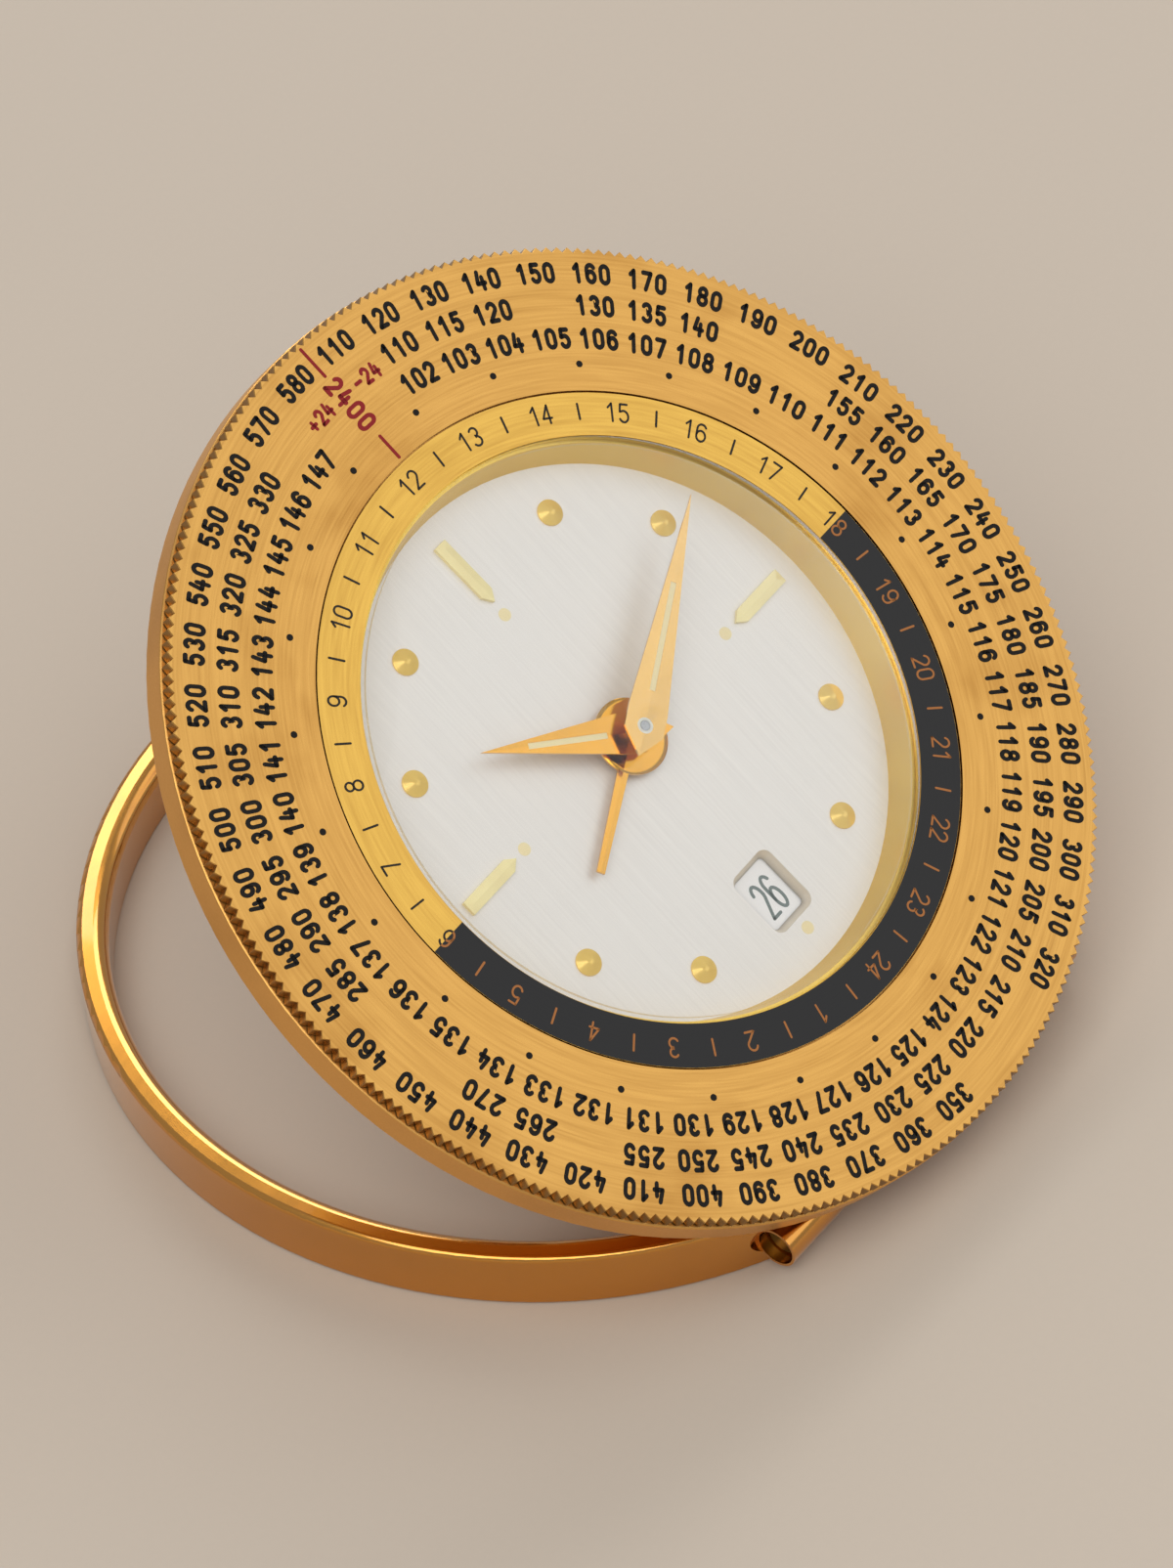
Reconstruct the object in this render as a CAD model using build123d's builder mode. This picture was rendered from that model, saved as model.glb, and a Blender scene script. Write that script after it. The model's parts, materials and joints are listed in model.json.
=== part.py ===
from build123d import *
from math import acos, cos, degrees, radians, sin, sqrt
import os

os.makedirs("parts", exist_ok=True)

# A folding world time alarm clock. A round head tilts on a ring that lies on the table.
# Millimetres, +Z up, the table at Z = 0, the hinge along X, the dial facing -Y and up.
# On the head, a place is (x, y) on the face, seen from the front, and a depth is
# measured behind the face of the turning bezel.

# Driving sizes of the head and the ring
tilt = 37.0                      # angle of the dial above the table, degrees
bezel_r = 40.3                   # outside of the knurled bezel
flange_rear = 4.1                # depth of the case flange's back
flange_round = 0.2
drum_r = 27.5                    # outside of the movement drum
drum_wall = 1.0
drum_bore_r = drum_r - drum_wall
drum_rear = 12.4                 # depth where the drum wall ends
overrun = 1.0                    # how far a cut runs past the piece
running_gap = 0.05               # radial clearance of what turns in a bore
seat_gap = 0.03                  # radial clearance of what sits still in a bore
air_gap = 0.1                    # least clearance between turning pieces

# Ring stand and hinge
ring_outer_r = 39.4
flange_overhang = 1.0            # the case flange covers the ring by this much
flange_r = ring_outer_r + flange_overhang
ring_band = 2.6                  # radial width of the ring
ring_height = 5.25
hinge_rise = ring_height / 2     # hinge axis above the table
tube_r = 1.82                    # outside of the hinge tube
ring_outer_round = 0.5
ring_inner_round = 1.2
ring_foot_chamfer = 0.2
ring_end_setback = 0.6           # the ring's ends stop this far behind the hinge axis
hinge_inset = 3.8                # hinge axis inside the ring's outside
hinge_reach = ring_outer_r - hinge_inset
hinge_drop = 36.54               # head centre to hinge axis, along the face
hinge_half_length = 19.4
knuckle_half_length = 10.1       # half of the middle knuckle
knuckle_end_gap = 0.15
pin_r = 1.55
pin_recess = 1.1                 # how far the pin ends stay inside the tube
pin_bore_r = pin_r + running_gap
fold_gap = 0.15                  # between the flange and the folded ring
hinge_depth = flange_rear + fold_gap + hinge_rise
leaf_thickness = 0.8
leaf_top = 5.6                   # how far the leaf reaches above the hinge axis
leaf_round = 1.2
leaf_neck = 2.4                  # thickness of the web from the leaf's plate to its knuckle
leaf_screw_spacing = 7.0
leaf_screw_rise = 4.0            # leaf screws above the hinge axis
leaf_screw_r = 0.5
leaf_head_r = 0.9
leaf_head_height = 0.4
leaf_screw_length = 1.6

# Turning bezel
bezel_thickness = 1.1
bezel_inner_r = 28.05
knurl_teeth = 270
knurl_depth = 0.45
knurl_open_share = 0.85          # width of a notch at the bezel's outside, of the pitch
bezel_lip_r = 29.0               # running bore of the bezel's hub
hub_rear = 2.6
snap_front = 1.9
snap_rear = 2.3
snap_depth = 0.3                 # depth of the two snap ring grooves
snap_gap = 0.05                  # around the snap ring in its grooves
groove_outer_r = 31.0            # outer wall of the case groove the hub runs in
hub_gap = 0.4                    # between the bezel's hub and that wall
hub_outer_r = groove_outer_r - hub_gap
groove_rear = 3.0
bezel_seat_gap = 0.15            # between the bezel and the flange
washer_thickness = 0.3
snap_ring_open = 24.0            # degrees left open in the snap ring

# Hour ring, rehaut, crystal and dial
hour_ring_inner_r = 24.3
hour_ring_outer_r = 27.9
hour_ring_front = 0.05
hour_ring_thickness = 0.5
rehaut_outer_r = 25.05
rehaut_foot_r = 23.2
rehaut_top_r = 23.95
rehaut_ledge = 0.75
crystal_rise = 2.3
crystal_wall = 1.0
crystal_foot = 0.65
crystal_top_r = 24.2
dial_front = 3.5
dial_thickness = 0.8
dial_r = 24.9
dial_turn = 1.8                  # the dial sits a little anticlockwise, degrees
window_reach = 16.6
window_width = 4.8
window_height = 5.9
window_bevel = 0.5
window_round = 0.9

# Hour markers
baton_length = 6.2
baton_width = 1.15
baton_height = 0.45
baton_reach = 18.1
cone_r = 1.1
cone_height = 0.6
cone_wall = 0.15
cone_reach = 19.3

# Hands, from the tip to the tail along the hand
minute_angle = 59.8              # clockwise from twelve
hour_angle = 301.8
alarm_angle = 241.0
minute_length = 20.8
hour_length = 14.0
alarm_length = 12.1
hand_thickness = 0.22
hand_half_width = 1.7
minute_tail = 2.65
hour_tail = 3.3
hand_shoulder = 1.4              # where the hand is widest, in front of the pivot
hand_waist = 0.55                # and behind it
slot_width = 0.5
minute_slot = (3.1, 12.8)
hour_slot = (2.7, 9.8)
lume_drop = 0.04                 # lume stays this far below the hand's face
minute_hand_front = 0.02
hour_hand_front = 1.45
alarm_hand_front = 2.55
alarm_hub_r = 3.2
alarm_hub_rim = 0.35
alarm_hub_dish = 0.12
alarm_root_width = 0.95
alarm_tip_width = 0.7
alarm_blade_start_share = 0.85   # of the hub radius

# Tubes about the centre
centre_arbor_r = 0.4
cannon_r = 0.67
hour_tube_r = 1.05
alarm_tube_r = 1.45
dial_hole_r = 1.7

# Date work
date_teeth = 31
date_inner_r = 12.55
date_root_r = 13.2
date_outer_r = 20.5
date_front = 4.4
date_thickness = 0.25
plate_gap = 0.2                  # between the drum's bore and the plates
calendar_r = drum_bore_r - plate_gap
calendar_front = dial_front + dial_thickness
calendar_hole_r = 13.25
calendar_pocket_r = 20.7
calendar_floor = 4.7
jumper_place = (5.4, 9.35)
jumper_tail = 4.6                # length of the jumper's spring blade
jumper_blade = 0.35
jumper_bend = 120.0              # direction of the blade from the nose, degrees
jumper_width = 0.7
jumper_post_r = 0.55
jumper_front = 4.42

# Plates
main_front = 6.5
main_rear = 7.7
back_front = 10.9
back_rear = 11.7
main_plate_r = drum_bore_r - plate_gap
back_plate_setback = 0.9
back_plate_r = main_plate_r - back_plate_setback
pillar_r = 1.2
pillar_reach = 22.5
pillar_angles = (100.0, 150.0, 245.0, 330.0)
screw_r = 0.6
screw_head_r = 1.1
screw_head_height = 0.4
screw_slot_share = 0.22          # slot width of the head's radius
screw_slot_depth_share = 0.5
screw_length = 2.0
back_thickness = 0.8
back_rim_gap = 0.1               # between the drum's bore and the back's rim
back_rim_r = drum_bore_r - back_rim_gap
back_rim_wall = 1.0
back_rim_front = 11.8
back_edge_round = 0.35
boss_reach = 21.0
boss_angles = (60.0, 175.0, 290.0)
boss_r = 1.6
back_screw_r = 0.7
back_screw_head_r = 1.3

# Gear teeth, as shares of the module
tooth_head_share = 0.8
tooth_foot_share = 1.15
tooth_tip_share = 0.3            # tooth thickness at the tip, of the pitch
tooth_root_share = 0.5           # and at the root
stone_gap = 0.2                  # pallets stand this far off the escape wheel

# Motion work behind the dial
cannon_leaves = 12
minute_wheel_teeth = 36
minute_module = 0.25
minute_pinion_leaves = 10
hour_wheel_teeth = 40
hour_module = 0.24
date_pinion_leaves = 20
date_wheel_teeth = 40
date_module = 0.255
alarm_wheel_teeth = 60
alarm_pinion_leaves = 12
alarm_module = 0.2
minute_wheel_angle = 120.0
hand_set_angle = 160.0           # seen from the minute wheel
date_wheel_angle = 260.0
alarm_set_angle = 10.0
cannon_level = (5.75, 6.35)
minute_wheel_level = (5.9, 6.25)
minute_pinion_level = (5.25, 5.9)
hour_wheel_level = (5.35, 5.65)
date_pinion_level = (5.05, 5.35)
date_wheel_level = (5.1, 5.3)
date_finger_level = (4.42, 4.7)
alarm_wheel_level = (4.82, 5.02)
alarm_pinion_level = (4.75, 5.1)
finger_reach = 5.3
finger_width = 0.8
finger_rest = 120.0              # degrees short of pointing at the date ring
stud_r = 0.5

# Going train between the plates
barrel_reach = 15.4
barrel_angle = 200.0
barrel_teeth = 84
barrel_module = 0.21
barrel_r = 8.4
barrel_front = 7.9
barrel_rear = 10.15
barrel_tooth_rear = 8.4
barrel_wall = 0.45
barrel_arbor_r = 1.1
intermediate_leaves = 12
intermediate_teeth = 60
intermediate_module = 0.18
centre_leaves = 12
centre_teeth = 64
centre_module = 0.175
train_leaves = 8
third_teeth = 60
third_module = 0.14
fourth_teeth = 60
fourth_module = 0.12
third_angle = 60.0               # directions from each wheel to the next
fourth_angle = 20.0
escape_angle = 0.0
escape_teeth = 20
escape_r = 2.8
escape_root_share = 0.72
escape_foot_share = 0.5          # thickness of a tooth of the flat saws, of the pitch
escape_tip_share = 0.12
train_arbor_r = 0.3
fine_arbor_r = 0.22
level_a = (10.3, 10.6)
level_b = (9.6, 9.9)
level_c = (8.95, 9.25)
level_d = (8.15, 8.45)
intermediate_pinion_level = (7.85, 8.55)
centre_pinion_level = (10.05, 10.75)
third_pinion_level = (8.75, 9.45)
fourth_pinion_level = (7.95, 8.65)
escape_pinion_level = (9.45, 10.05)
wheel_rim_share = 0.82           # crossings of a wheel, of its pitch radius
wheel_hub_share = 0.25
wheel_arms = 4
arm_width = 0.6

# Escapement
pallet_reach = 3.6
pallet_angle = 300.0
pallet_arm = 3.0
pallet_spread = 2.1
pallet_width = 0.5
balance_reach = 7.6
balance_r = 5.0
balance_rim = 0.6
balance_arm = 0.7
roller_r = 0.8
hairspring_turns = 5
hairspring_inner_r = 0.7
hairspring_pitch = 0.5
hairspring_width = 0.12
cock_reach = 22.2
cock_angle = 10.0
cock_width = 3.4
cock_foot_r = 1.6
cock_rear = 11.7
cock_gap = 0.6                   # around the cock, in the back plate
cock_opening_r = 3.0             # opening of the back plate about the balance arbor
regulator_front = 11.75
regulator_rear = 12.0
regulator_boss_r = 1.2
regulator_ring_r = 2.0
regulator_length = 6.0
regulator_width = 0.9
regulator_rest = 20.0            # direction of the pointer, degrees
regulator_sweep = 25.0           # half of the slot's opening, degrees
regulator_slot_reach = 5.2
regulator_slot_width = 1.0

# Alarm work
alarm_barrel_reach = 15.5
alarm_barrel_angle = 308.0
alarm_barrel_teeth = 70
alarm_barrel_r = 7.0
strike_angle = 175.0
strike_leaves = 10
strike_teeth = 20
strike_r = 3.0
hammer_place = (3.6, -20.2)
hammer_head = (-3.6, -22.9)
hammer_head_r = 1.3
hammer_width = 0.9
gong_inset = 0.5                 # gong wire inside the main plate's edge
gong_r = main_plate_r - gong_inset
gong_wire_r = 0.3
gong_depth = 9.3
gong_open = 50.0                 # degrees of the gong ring that are open
gong_foot_r = 0.5

# Mainsprings
mainspring_turns = 6
mainspring_width = 0.25
mainspring_wall_gap = 0.25
mainspring_height = 1.3

# Keys, knobs and the alarm stop on the back
key_hub_r = 1.9
key_reach = 5.4
key_wing_thickness = 1.3
key_wing_height = 3.4
key_wing_lap = 0.8               # how far the wings reach into the hub
key_hole_r = 0.85
key_hole_reach = 3.5
key_hub_height = 2.0
key_round = 1.2
key_gap = 0.2                    # between a key or knob and the case back
knob_r = 3.0
knob_height = 2.6
knob_teeth = 24
knob_groove_r = 0.22
knob_chamfer = 0.3
set_arbor_r = 0.7
ratchet_r = 3.2
ratchet_teeth = 22
ratchet_level = (11.75, 12.1)
click_reach = 7.0                # ratchet centre to the click's foot
click_foot_r = 1.0
click_width = 0.7
click_gap = 0.08
time_click_angle = 300.0
alarm_click_angle = 120.0
time_key_turn = 20.0
alarm_key_turn = -35.0
stop_place = (0.0, 18.6)
stop_arbor_r = 0.8
stop_knob_r = 1.9
stop_knob_height = 1.6
stop_travel = 1.5                # how far the stop pulls out
stop_collar_r = 1.4
stop_collar_thickness = 0.3


# Frames that everything is placed in
def lean(along, out):
    """Y and Z of a vector that runs so far along the face, upwards, and out of the face."""
    angle = radians(tilt)
    return along * cos(angle) - out * sin(angle), along * sin(angle) + out * cos(angle)


centre_rise, centre_lift = lean(hinge_drop, hinge_depth)
rim_back, _ = lean(-bezel_r, 0)
front_reach = hinge_reach - centre_rise - rim_back
ring_y = (front_reach - ring_outer_r) / 2
hinge_y = ring_y - hinge_reach
face_centre = Vector(0, hinge_y + centre_rise, hinge_rise + centre_lift)
face_out_y, face_out_z = lean(0, 1)
head = Plane(face_centre, x_dir=(1, 0, 0), z_dir=(0, face_out_y, face_out_z))


def polar(reach, angle, start=(0, 0)):
    """A place so far from another, in a direction measured anticlockwise from three."""
    return start[0] + reach * cos(radians(angle)), start[1] + reach * sin(radians(angle))


def point_at(place, depth):
    """The point of space behind a place of the face."""
    return head.from_local_coords((place[0], place[1], -depth))


def across(turn):
    """A direction along the face, anticlockwise from three."""
    return head.x_dir * cos(radians(turn)) + head.y_dir * sin(radians(turn))


def facing(depth, place=(0, 0), turn=0):
    """A plane parallel to the face, at a depth, centred on a place, its local X turned."""
    return Plane(point_at(place, depth), x_dir=across(turn), z_dir=head.z_dir)


def section(place=(0, 0), turn=0):
    """A plane that cuts through the head: local X is a radius, local Y comes forward."""
    return Plane(point_at(place, 0), x_dir=across(turn), z_dir=across(turn).cross(head.z_dir))


def axis_at(place=(0, 0)):
    """The axis square to the face at a place."""
    return Axis(point_at(place, 0), head.z_dir)


def turned(outline, place=(0, 0), mode=Mode.ADD):
    """Adds a lathe-turned form to the part in hand, from points of (radius, depth)."""
    with BuildSketch(section(place)) as profile:
        with BuildLine():
            Polyline([(radius, -depth) for radius, depth in outline], close=True)
        make_face()
    revolve(profile.sketch, axis=axis_at(place), mode=mode)


def disc(radius, front, rear, place=(0, 0), mode=Mode.ADD):
    """Adds a disc or rod between two depths to the part in hand, or cuts it."""
    with BuildSketch(facing(rear, place)) as circle:
        Circle(radius)
    extrude(circle.sketch, amount=rear - front, mode=mode)


def finish(piece, label):
    """Names a finished piece and writes it."""
    piece.part.label = label
    export_step(piece.part, f"parts/{label}.step")


# Gears
def pitch_r(teeth, module):
    return teeth * module / 2


def tip_r(teeth, module):
    return module * (teeth / 2 + tooth_head_share)


def apart(teeth, other_teeth, module):
    """Distance between the axes of two meshing gears."""
    return pitch_r(teeth + other_teeth, module)


def mesh_phase(teeth, phase, other_teeth, direction):
    """Where a tooth of the second gear points, for a gap of it to hold a tooth of the first."""
    pitch = 360 / teeth
    other_pitch = 360 / other_teeth
    passed_share = ((direction - phase) % pitch) / pitch
    wanted_share = (0.5 - passed_share) % 1
    return direction + 180 - wanted_share * other_pitch


def tooth_outline(teeth, root, tip, root_share, tip_share, phase):
    """Points of a toothed outline: four for each tooth, from shares of the tooth pitch."""
    points = []
    pitch = 360 / teeth
    for tooth in range(teeth):
        middle = phase + tooth * pitch
        points.append(polar(root, middle - root_share * pitch / 2))
        points.append(polar(tip, middle - tip_share * pitch / 2))
        points.append(polar(tip, middle + tip_share * pitch / 2))
        points.append(polar(root, middle + root_share * pitch / 2))
    return points


def toothed(points, level, place):
    """Adds a toothed plate between two depths to the part in hand."""
    front, rear = level
    with BuildSketch(facing(rear, place)) as outline:
        with BuildLine():
            Polyline(points, close=True)
        make_face()
    extrude(outline.sketch, amount=rear - front)


def gear(teeth, module, level, place=(0, 0), phase=0):
    """Adds a gear or pinion between two depths to the part in hand."""
    root = module * (teeth / 2 - tooth_foot_share)
    points = tooth_outline(teeth, root, tip_r(teeth, module), tooth_root_share, tooth_tip_share, phase)
    toothed(points, level, place)


def crossings(radius, level, place):
    """Cuts the openings between a wheel's arms."""
    front, rear = level
    with BuildSketch(facing(rear + overrun, place)) as openings:
        Circle(radius * wheel_rim_share)
        Circle(radius * wheel_hub_share, mode=Mode.SUBTRACT)
        with PolarLocations(0, wheel_arms // 2, angular_range=180):
            Rectangle(2 * radius, arm_width, mode=Mode.SUBTRACT)
    extrude(openings.sketch, amount=rear - front + 2 * overrun, mode=Mode.SUBTRACT)


# Places of the arbors
minute_wheel_place = polar(apart(cannon_leaves, minute_wheel_teeth, minute_module), minute_wheel_angle)
hand_set_place = polar(apart(cannon_leaves, minute_wheel_teeth, minute_module),
                       hand_set_angle, minute_wheel_place)
date_wheel_place = polar(apart(date_pinion_leaves, date_wheel_teeth, date_module), date_wheel_angle)
alarm_set_place = polar(apart(alarm_pinion_leaves, alarm_wheel_teeth, alarm_module), alarm_set_angle)
barrel_place = polar(barrel_reach, barrel_angle)
intermediate_arm = apart(intermediate_teeth, centre_leaves, intermediate_module)
barrel_arm = apart(barrel_teeth, intermediate_leaves, barrel_module)
intermediate_turn = degrees(acos((intermediate_arm ** 2 + barrel_reach ** 2 - barrel_arm ** 2)
                                 / (2 * intermediate_arm * barrel_reach)))
intermediate_place = polar(intermediate_arm, barrel_angle + intermediate_turn)
third_place = polar(apart(centre_teeth, train_leaves, centre_module), third_angle)
fourth_place = polar(apart(third_teeth, train_leaves, third_module), fourth_angle, third_place)
escape_place = polar(apart(fourth_teeth, train_leaves, fourth_module), escape_angle, fourth_place)
pallet_place = polar(pallet_reach, pallet_angle, escape_place)
balance_place = polar(balance_reach, pallet_angle, escape_place)
cock_place = polar(cock_reach, cock_angle)
alarm_barrel_place = polar(alarm_barrel_reach, alarm_barrel_angle)
strike_place = polar(apart(alarm_barrel_teeth, strike_leaves, barrel_module),
                     strike_angle, alarm_barrel_place)
pillar_places = [polar(pillar_reach, angle) for angle in pillar_angles]
boss_places = [polar(boss_reach, angle) for angle in boss_angles]
case_back_rear = drum_rear + back_thickness


def distance_to(start, end):
    """Distance between two places of the face."""
    return sqrt((end[0] - start[0]) ** 2 + (end[1] - start[1]) ** 2)


def direction_to(start, end):
    """Direction from one place to another, anticlockwise from three, in degrees."""
    step = Vector(end[0] - start[0], end[1] - start[1])
    turn = degrees(acos(step.X / step.length))
    return turn if step.Y >= 0 else -turn


cock_turn = direction_to(balance_place, cock_place)
cock_length = distance_to(balance_place, cock_place)
hammer_arm = distance_to(hammer_place, hammer_head)
hammer_horn = distance_to(hammer_place, strike_place) - strike_r - stone_gap

# Ring stand: a band cut off where the hinge tube crosses it
ring_inner_r = ring_outer_r - ring_band
hinge_line = Plane((-hinge_half_length, hinge_y, hinge_rise), x_dir=(0, 1, 0), z_dir=(1, 0, 0))
with BuildPart() as stand_ring:
    with BuildSketch(Plane.XY):
        with Locations((0, ring_y)):
            Circle(ring_outer_r)
            Circle(ring_inner_r, mode=Mode.SUBTRACT)
    extrude(amount=ring_height)
    top_edges = stand_ring.edges().group_by(Axis.Z)[-1].sort_by(SortBy.RADIUS)
    fillet(top_edges[-1], ring_outer_round)
    fillet(stand_ring.edges().group_by(Axis.Z)[-1].sort_by(SortBy.RADIUS)[0], ring_inner_round)
    chamfer(stand_ring.edges().group_by(Axis.Z)[0], ring_foot_chamfer)
    with BuildSketch(Plane.XY.offset(-overrun)):
        with Locations((0, hinge_y + ring_end_setback)):
            Rectangle(2 * ring_outer_r, 2 * hinge_reach, align=(Align.CENTER, Align.MAX))
    extrude(amount=ring_height + 2 * overrun, mode=Mode.SUBTRACT)
    with BuildSketch(hinge_line.offset(-ring_band)):
        Circle(tube_r)
    extrude(amount=2 * (hinge_half_length + ring_band), mode=Mode.SUBTRACT)
finish(stand_ring, "stand_ring")

with BuildPart() as stand_knuckles:
    for end in (-1, 1):
        with BuildSketch(hinge_line.offset(hinge_half_length + end * hinge_half_length)):
            Circle(tube_r)
            Circle(pin_bore_r, mode=Mode.SUBTRACT)
        extrude(amount=-end * (hinge_half_length - knuckle_half_length - knuckle_end_gap))
finish(stand_knuckles, "stand_knuckles")

with BuildPart() as hinge_pin:
    with BuildSketch(hinge_line.offset(pin_recess)):
        Circle(pin_r)
    extrude(amount=2 * (hinge_half_length - pin_recess))
    chamfer(hinge_pin.edges(), pin_bore_r - pin_r + air_gap)
finish(hinge_pin, "hinge_pin")

# Hinge leaf: the middle knuckle with a plate that is screwed under the flange
leaf_screws_at = [(side * leaf_screw_spacing, leaf_screw_rise - hinge_drop) for side in (-1, 1)]
with BuildPart() as hinge_leaf:
    with BuildSketch(facing(flange_rear + leaf_thickness)):
        with Locations((0, leaf_top - hinge_drop)):
            Rectangle(2 * knuckle_half_length, leaf_top, align=(Align.CENTER, Align.MAX))
    extrude(amount=leaf_thickness)
    fillet(hinge_leaf.edges().filter_by(Axis(face_centre, head.z_dir)).group_by(Axis.Y)[-1], leaf_round)
    with BuildSketch(facing(hinge_depth)):
        with Locations((0, -hinge_drop)):
            Rectangle(2 * knuckle_half_length, leaf_neck)
    extrude(amount=hinge_depth - flange_rear)
    with BuildSketch(hinge_line.offset(hinge_half_length - knuckle_half_length)):
        Circle(tube_r)
    extrude(amount=2 * knuckle_half_length)
    with BuildSketch(hinge_line):
        Circle(pin_bore_r)
    extrude(amount=2 * hinge_half_length, mode=Mode.SUBTRACT)
    for place in leaf_screws_at:
        disc(leaf_screw_r + seat_gap, flange_rear - overrun, flange_rear + leaf_thickness + overrun,
             place, mode=Mode.SUBTRACT)
finish(hinge_leaf, "hinge_leaf")


def screw(place, seat, shank_r, head_r, head_height, length):
    """Adds a slotted screw whose head stands on a seat at a depth, its shank going forward."""
    disc(shank_r, seat - length, seat, place)
    disc(head_r, seat, seat + head_height, place)
    slot_depth = head_height * screw_slot_depth_share
    with BuildSketch(facing(seat + head_height + overrun, place)) as slot:
        Rectangle(2 * head_r + overrun, 2 * head_r * screw_slot_share)
    extrude(slot.sketch, amount=slot_depth + overrun, mode=Mode.SUBTRACT)


with BuildPart() as leaf_screws:
    for place in leaf_screws_at:
        screw(place, flange_rear + leaf_thickness, leaf_screw_r, leaf_head_r, leaf_head_height,
              leaf_screw_length + leaf_thickness)
finish(leaf_screws, "leaf_screws")

# Case: flange, bezel groove and movement drum, turned in one piece
post_r = bezel_lip_r - running_gap
post_front = hour_ring_front + hour_ring_thickness
flange_front = bezel_thickness + bezel_seat_gap
with BuildPart() as case_body:
    turned([(rehaut_outer_r + seat_gap, post_front), (hour_ring_outer_r, post_front),
            (hour_ring_outer_r, post_front + bezel_seat_gap), (post_r, post_front + bezel_seat_gap),
            (post_r, groove_rear), (groove_outer_r, groove_rear),
            (groove_outer_r, snap_rear), (groove_outer_r + snap_depth, snap_rear),
            (groove_outer_r + snap_depth, snap_front), (groove_outer_r, snap_front),
            (groove_outer_r, flange_front), (flange_r, flange_front),
            (flange_r, flange_rear), (drum_r, flange_rear),
            (drum_r, drum_rear), (drum_bore_r, drum_rear),
            (drum_bore_r, calendar_front), (rehaut_outer_r + seat_gap, calendar_front)])
    rim_edges = case_body.edges().filter_by(GeomType.CIRCLE).group_by(SortBy.RADIUS)[-1]
    fillet(rim_edges, flange_round)
    for place in leaf_screws_at:
        disc(leaf_screw_r + seat_gap, flange_rear - leaf_screw_length - air_gap,
             flange_rear + overrun, place, mode=Mode.SUBTRACT)
finish(case_body, "case_body")

# Turning bezel: a flat ring with a notched edge and a hub that runs in the case groove
with BuildPart() as bezel:
    turned([(bezel_inner_r, 0), (bezel_r, 0), (bezel_r, bezel_thickness),
            (hub_outer_r, bezel_thickness), (hub_outer_r, snap_front),
            (hub_outer_r - snap_depth, snap_front), (hub_outer_r - snap_depth, snap_rear),
            (hub_outer_r, snap_rear), (hub_outer_r, hub_rear), (bezel_lip_r, hub_rear),
            (bezel_lip_r, post_front), (bezel_inner_r, post_front)])
    notch_root = bezel_r - knurl_depth
    notch = tooth_outline(knurl_teeth, notch_root, notch_root + knurl_depth / knurl_open_share, 0, 1, 0)
    notch_points = [point for index, point in enumerate(notch) if index % 4 in (0, 1)]
    with BuildSketch(facing(bezel_thickness + overrun)):
        Circle(bezel_r + overrun)
        with BuildLine():
            Polyline(notch_points, close=True)
        make_face(mode=Mode.SUBTRACT)
    extrude(amount=bezel_thickness + 2 * overrun, mode=Mode.SUBTRACT)
finish(bezel, "bezel")

with BuildPart() as bezel_snap_ring:
    with BuildSketch(facing(snap_rear - snap_gap)):
        Circle(groove_outer_r + snap_depth - snap_gap)
        Circle(hub_outer_r - snap_depth + air_gap, mode=Mode.SUBTRACT)
        open_half = radians(snap_ring_open / 2)
        reach = groove_outer_r + overrun
        with BuildLine():
            Polyline((0, 0), (reach, -reach * sin(open_half)), (reach, reach * sin(open_half)), close=True)
        make_face(mode=Mode.SUBTRACT)
    extrude(amount=snap_rear - snap_front - 2 * snap_gap)
finish(bezel_snap_ring, "bezel_snap_ring")

with BuildPart() as bezel_washer:
    turned([(post_r + air_gap, groove_rear - washer_thickness), (hub_outer_r, groove_rear - washer_thickness),
            (hub_outer_r, groove_rear), (post_r + air_gap, groove_rear)])
finish(bezel_washer, "bezel_washer")

# Fixed 24-hour ring, rehaut and crystal
with BuildPart() as hour_ring:
    turned([(hour_ring_inner_r, hour_ring_front), (hour_ring_outer_r, hour_ring_front),
            (hour_ring_outer_r, post_front), (hour_ring_inner_r, post_front)])
finish(hour_ring, "hour_ring")

with BuildPart() as rehaut:
    turned([(rehaut_top_r, rehaut_ledge), (hour_ring_inner_r, rehaut_ledge),
            (hour_ring_inner_r, post_front), (rehaut_outer_r, post_front),
            (rehaut_outer_r, dial_front), (rehaut_foot_r, dial_front)])
finish(rehaut, "rehaut")


def dome_r(width, rise):
    """Radius of a sphere whose cap is so wide and so high."""
    return (width ** 2 + rise ** 2) / (2 * rise)


with BuildPart() as crystal:
    foot_wall = crystal_top_r - crystal_wall / 2
    with BuildSketch(section()):
        with BuildLine():
            top = RadiusArc((0, crystal_rise), (crystal_top_r, 0), dome_r(crystal_top_r, crystal_rise))
            Line(top @ 1, (crystal_top_r, -crystal_foot))
            Line((crystal_top_r, -crystal_foot), (foot_wall, -crystal_foot))
            inner_rise = crystal_rise - crystal_wall
            Line((foot_wall, -crystal_foot), (foot_wall, -crystal_foot / 2))
            RadiusArc((foot_wall, -crystal_foot / 2), (0, inner_rise),
                      -dome_r(foot_wall, inner_rise + crystal_foot / 2))
            Line((0, inner_rise), (0, crystal_rise))
        make_face()
    revolve(axis=axis_at())
finish(crystal, "crystal")

# Dial with its bevelled date window
dial_plane = facing(dial_front, turn=dial_turn)
with BuildPart() as dial:
    disc(dial_r, dial_front, dial_front + dial_thickness)
    disc(dial_hole_r, dial_front - overrun, dial_front + dial_thickness + overrun, mode=Mode.SUBTRACT)
    for depth, inset in ((0, 0), (dial_thickness, window_bevel)):
        with BuildSketch(dial_plane.offset(-depth)):
            with Locations((0, -window_reach)):
                RectangleRounded(window_width - 2 * inset, window_height - 2 * inset, window_round - inset)
    loft(mode=Mode.SUBTRACT)
finish(dial, "dial")


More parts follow.
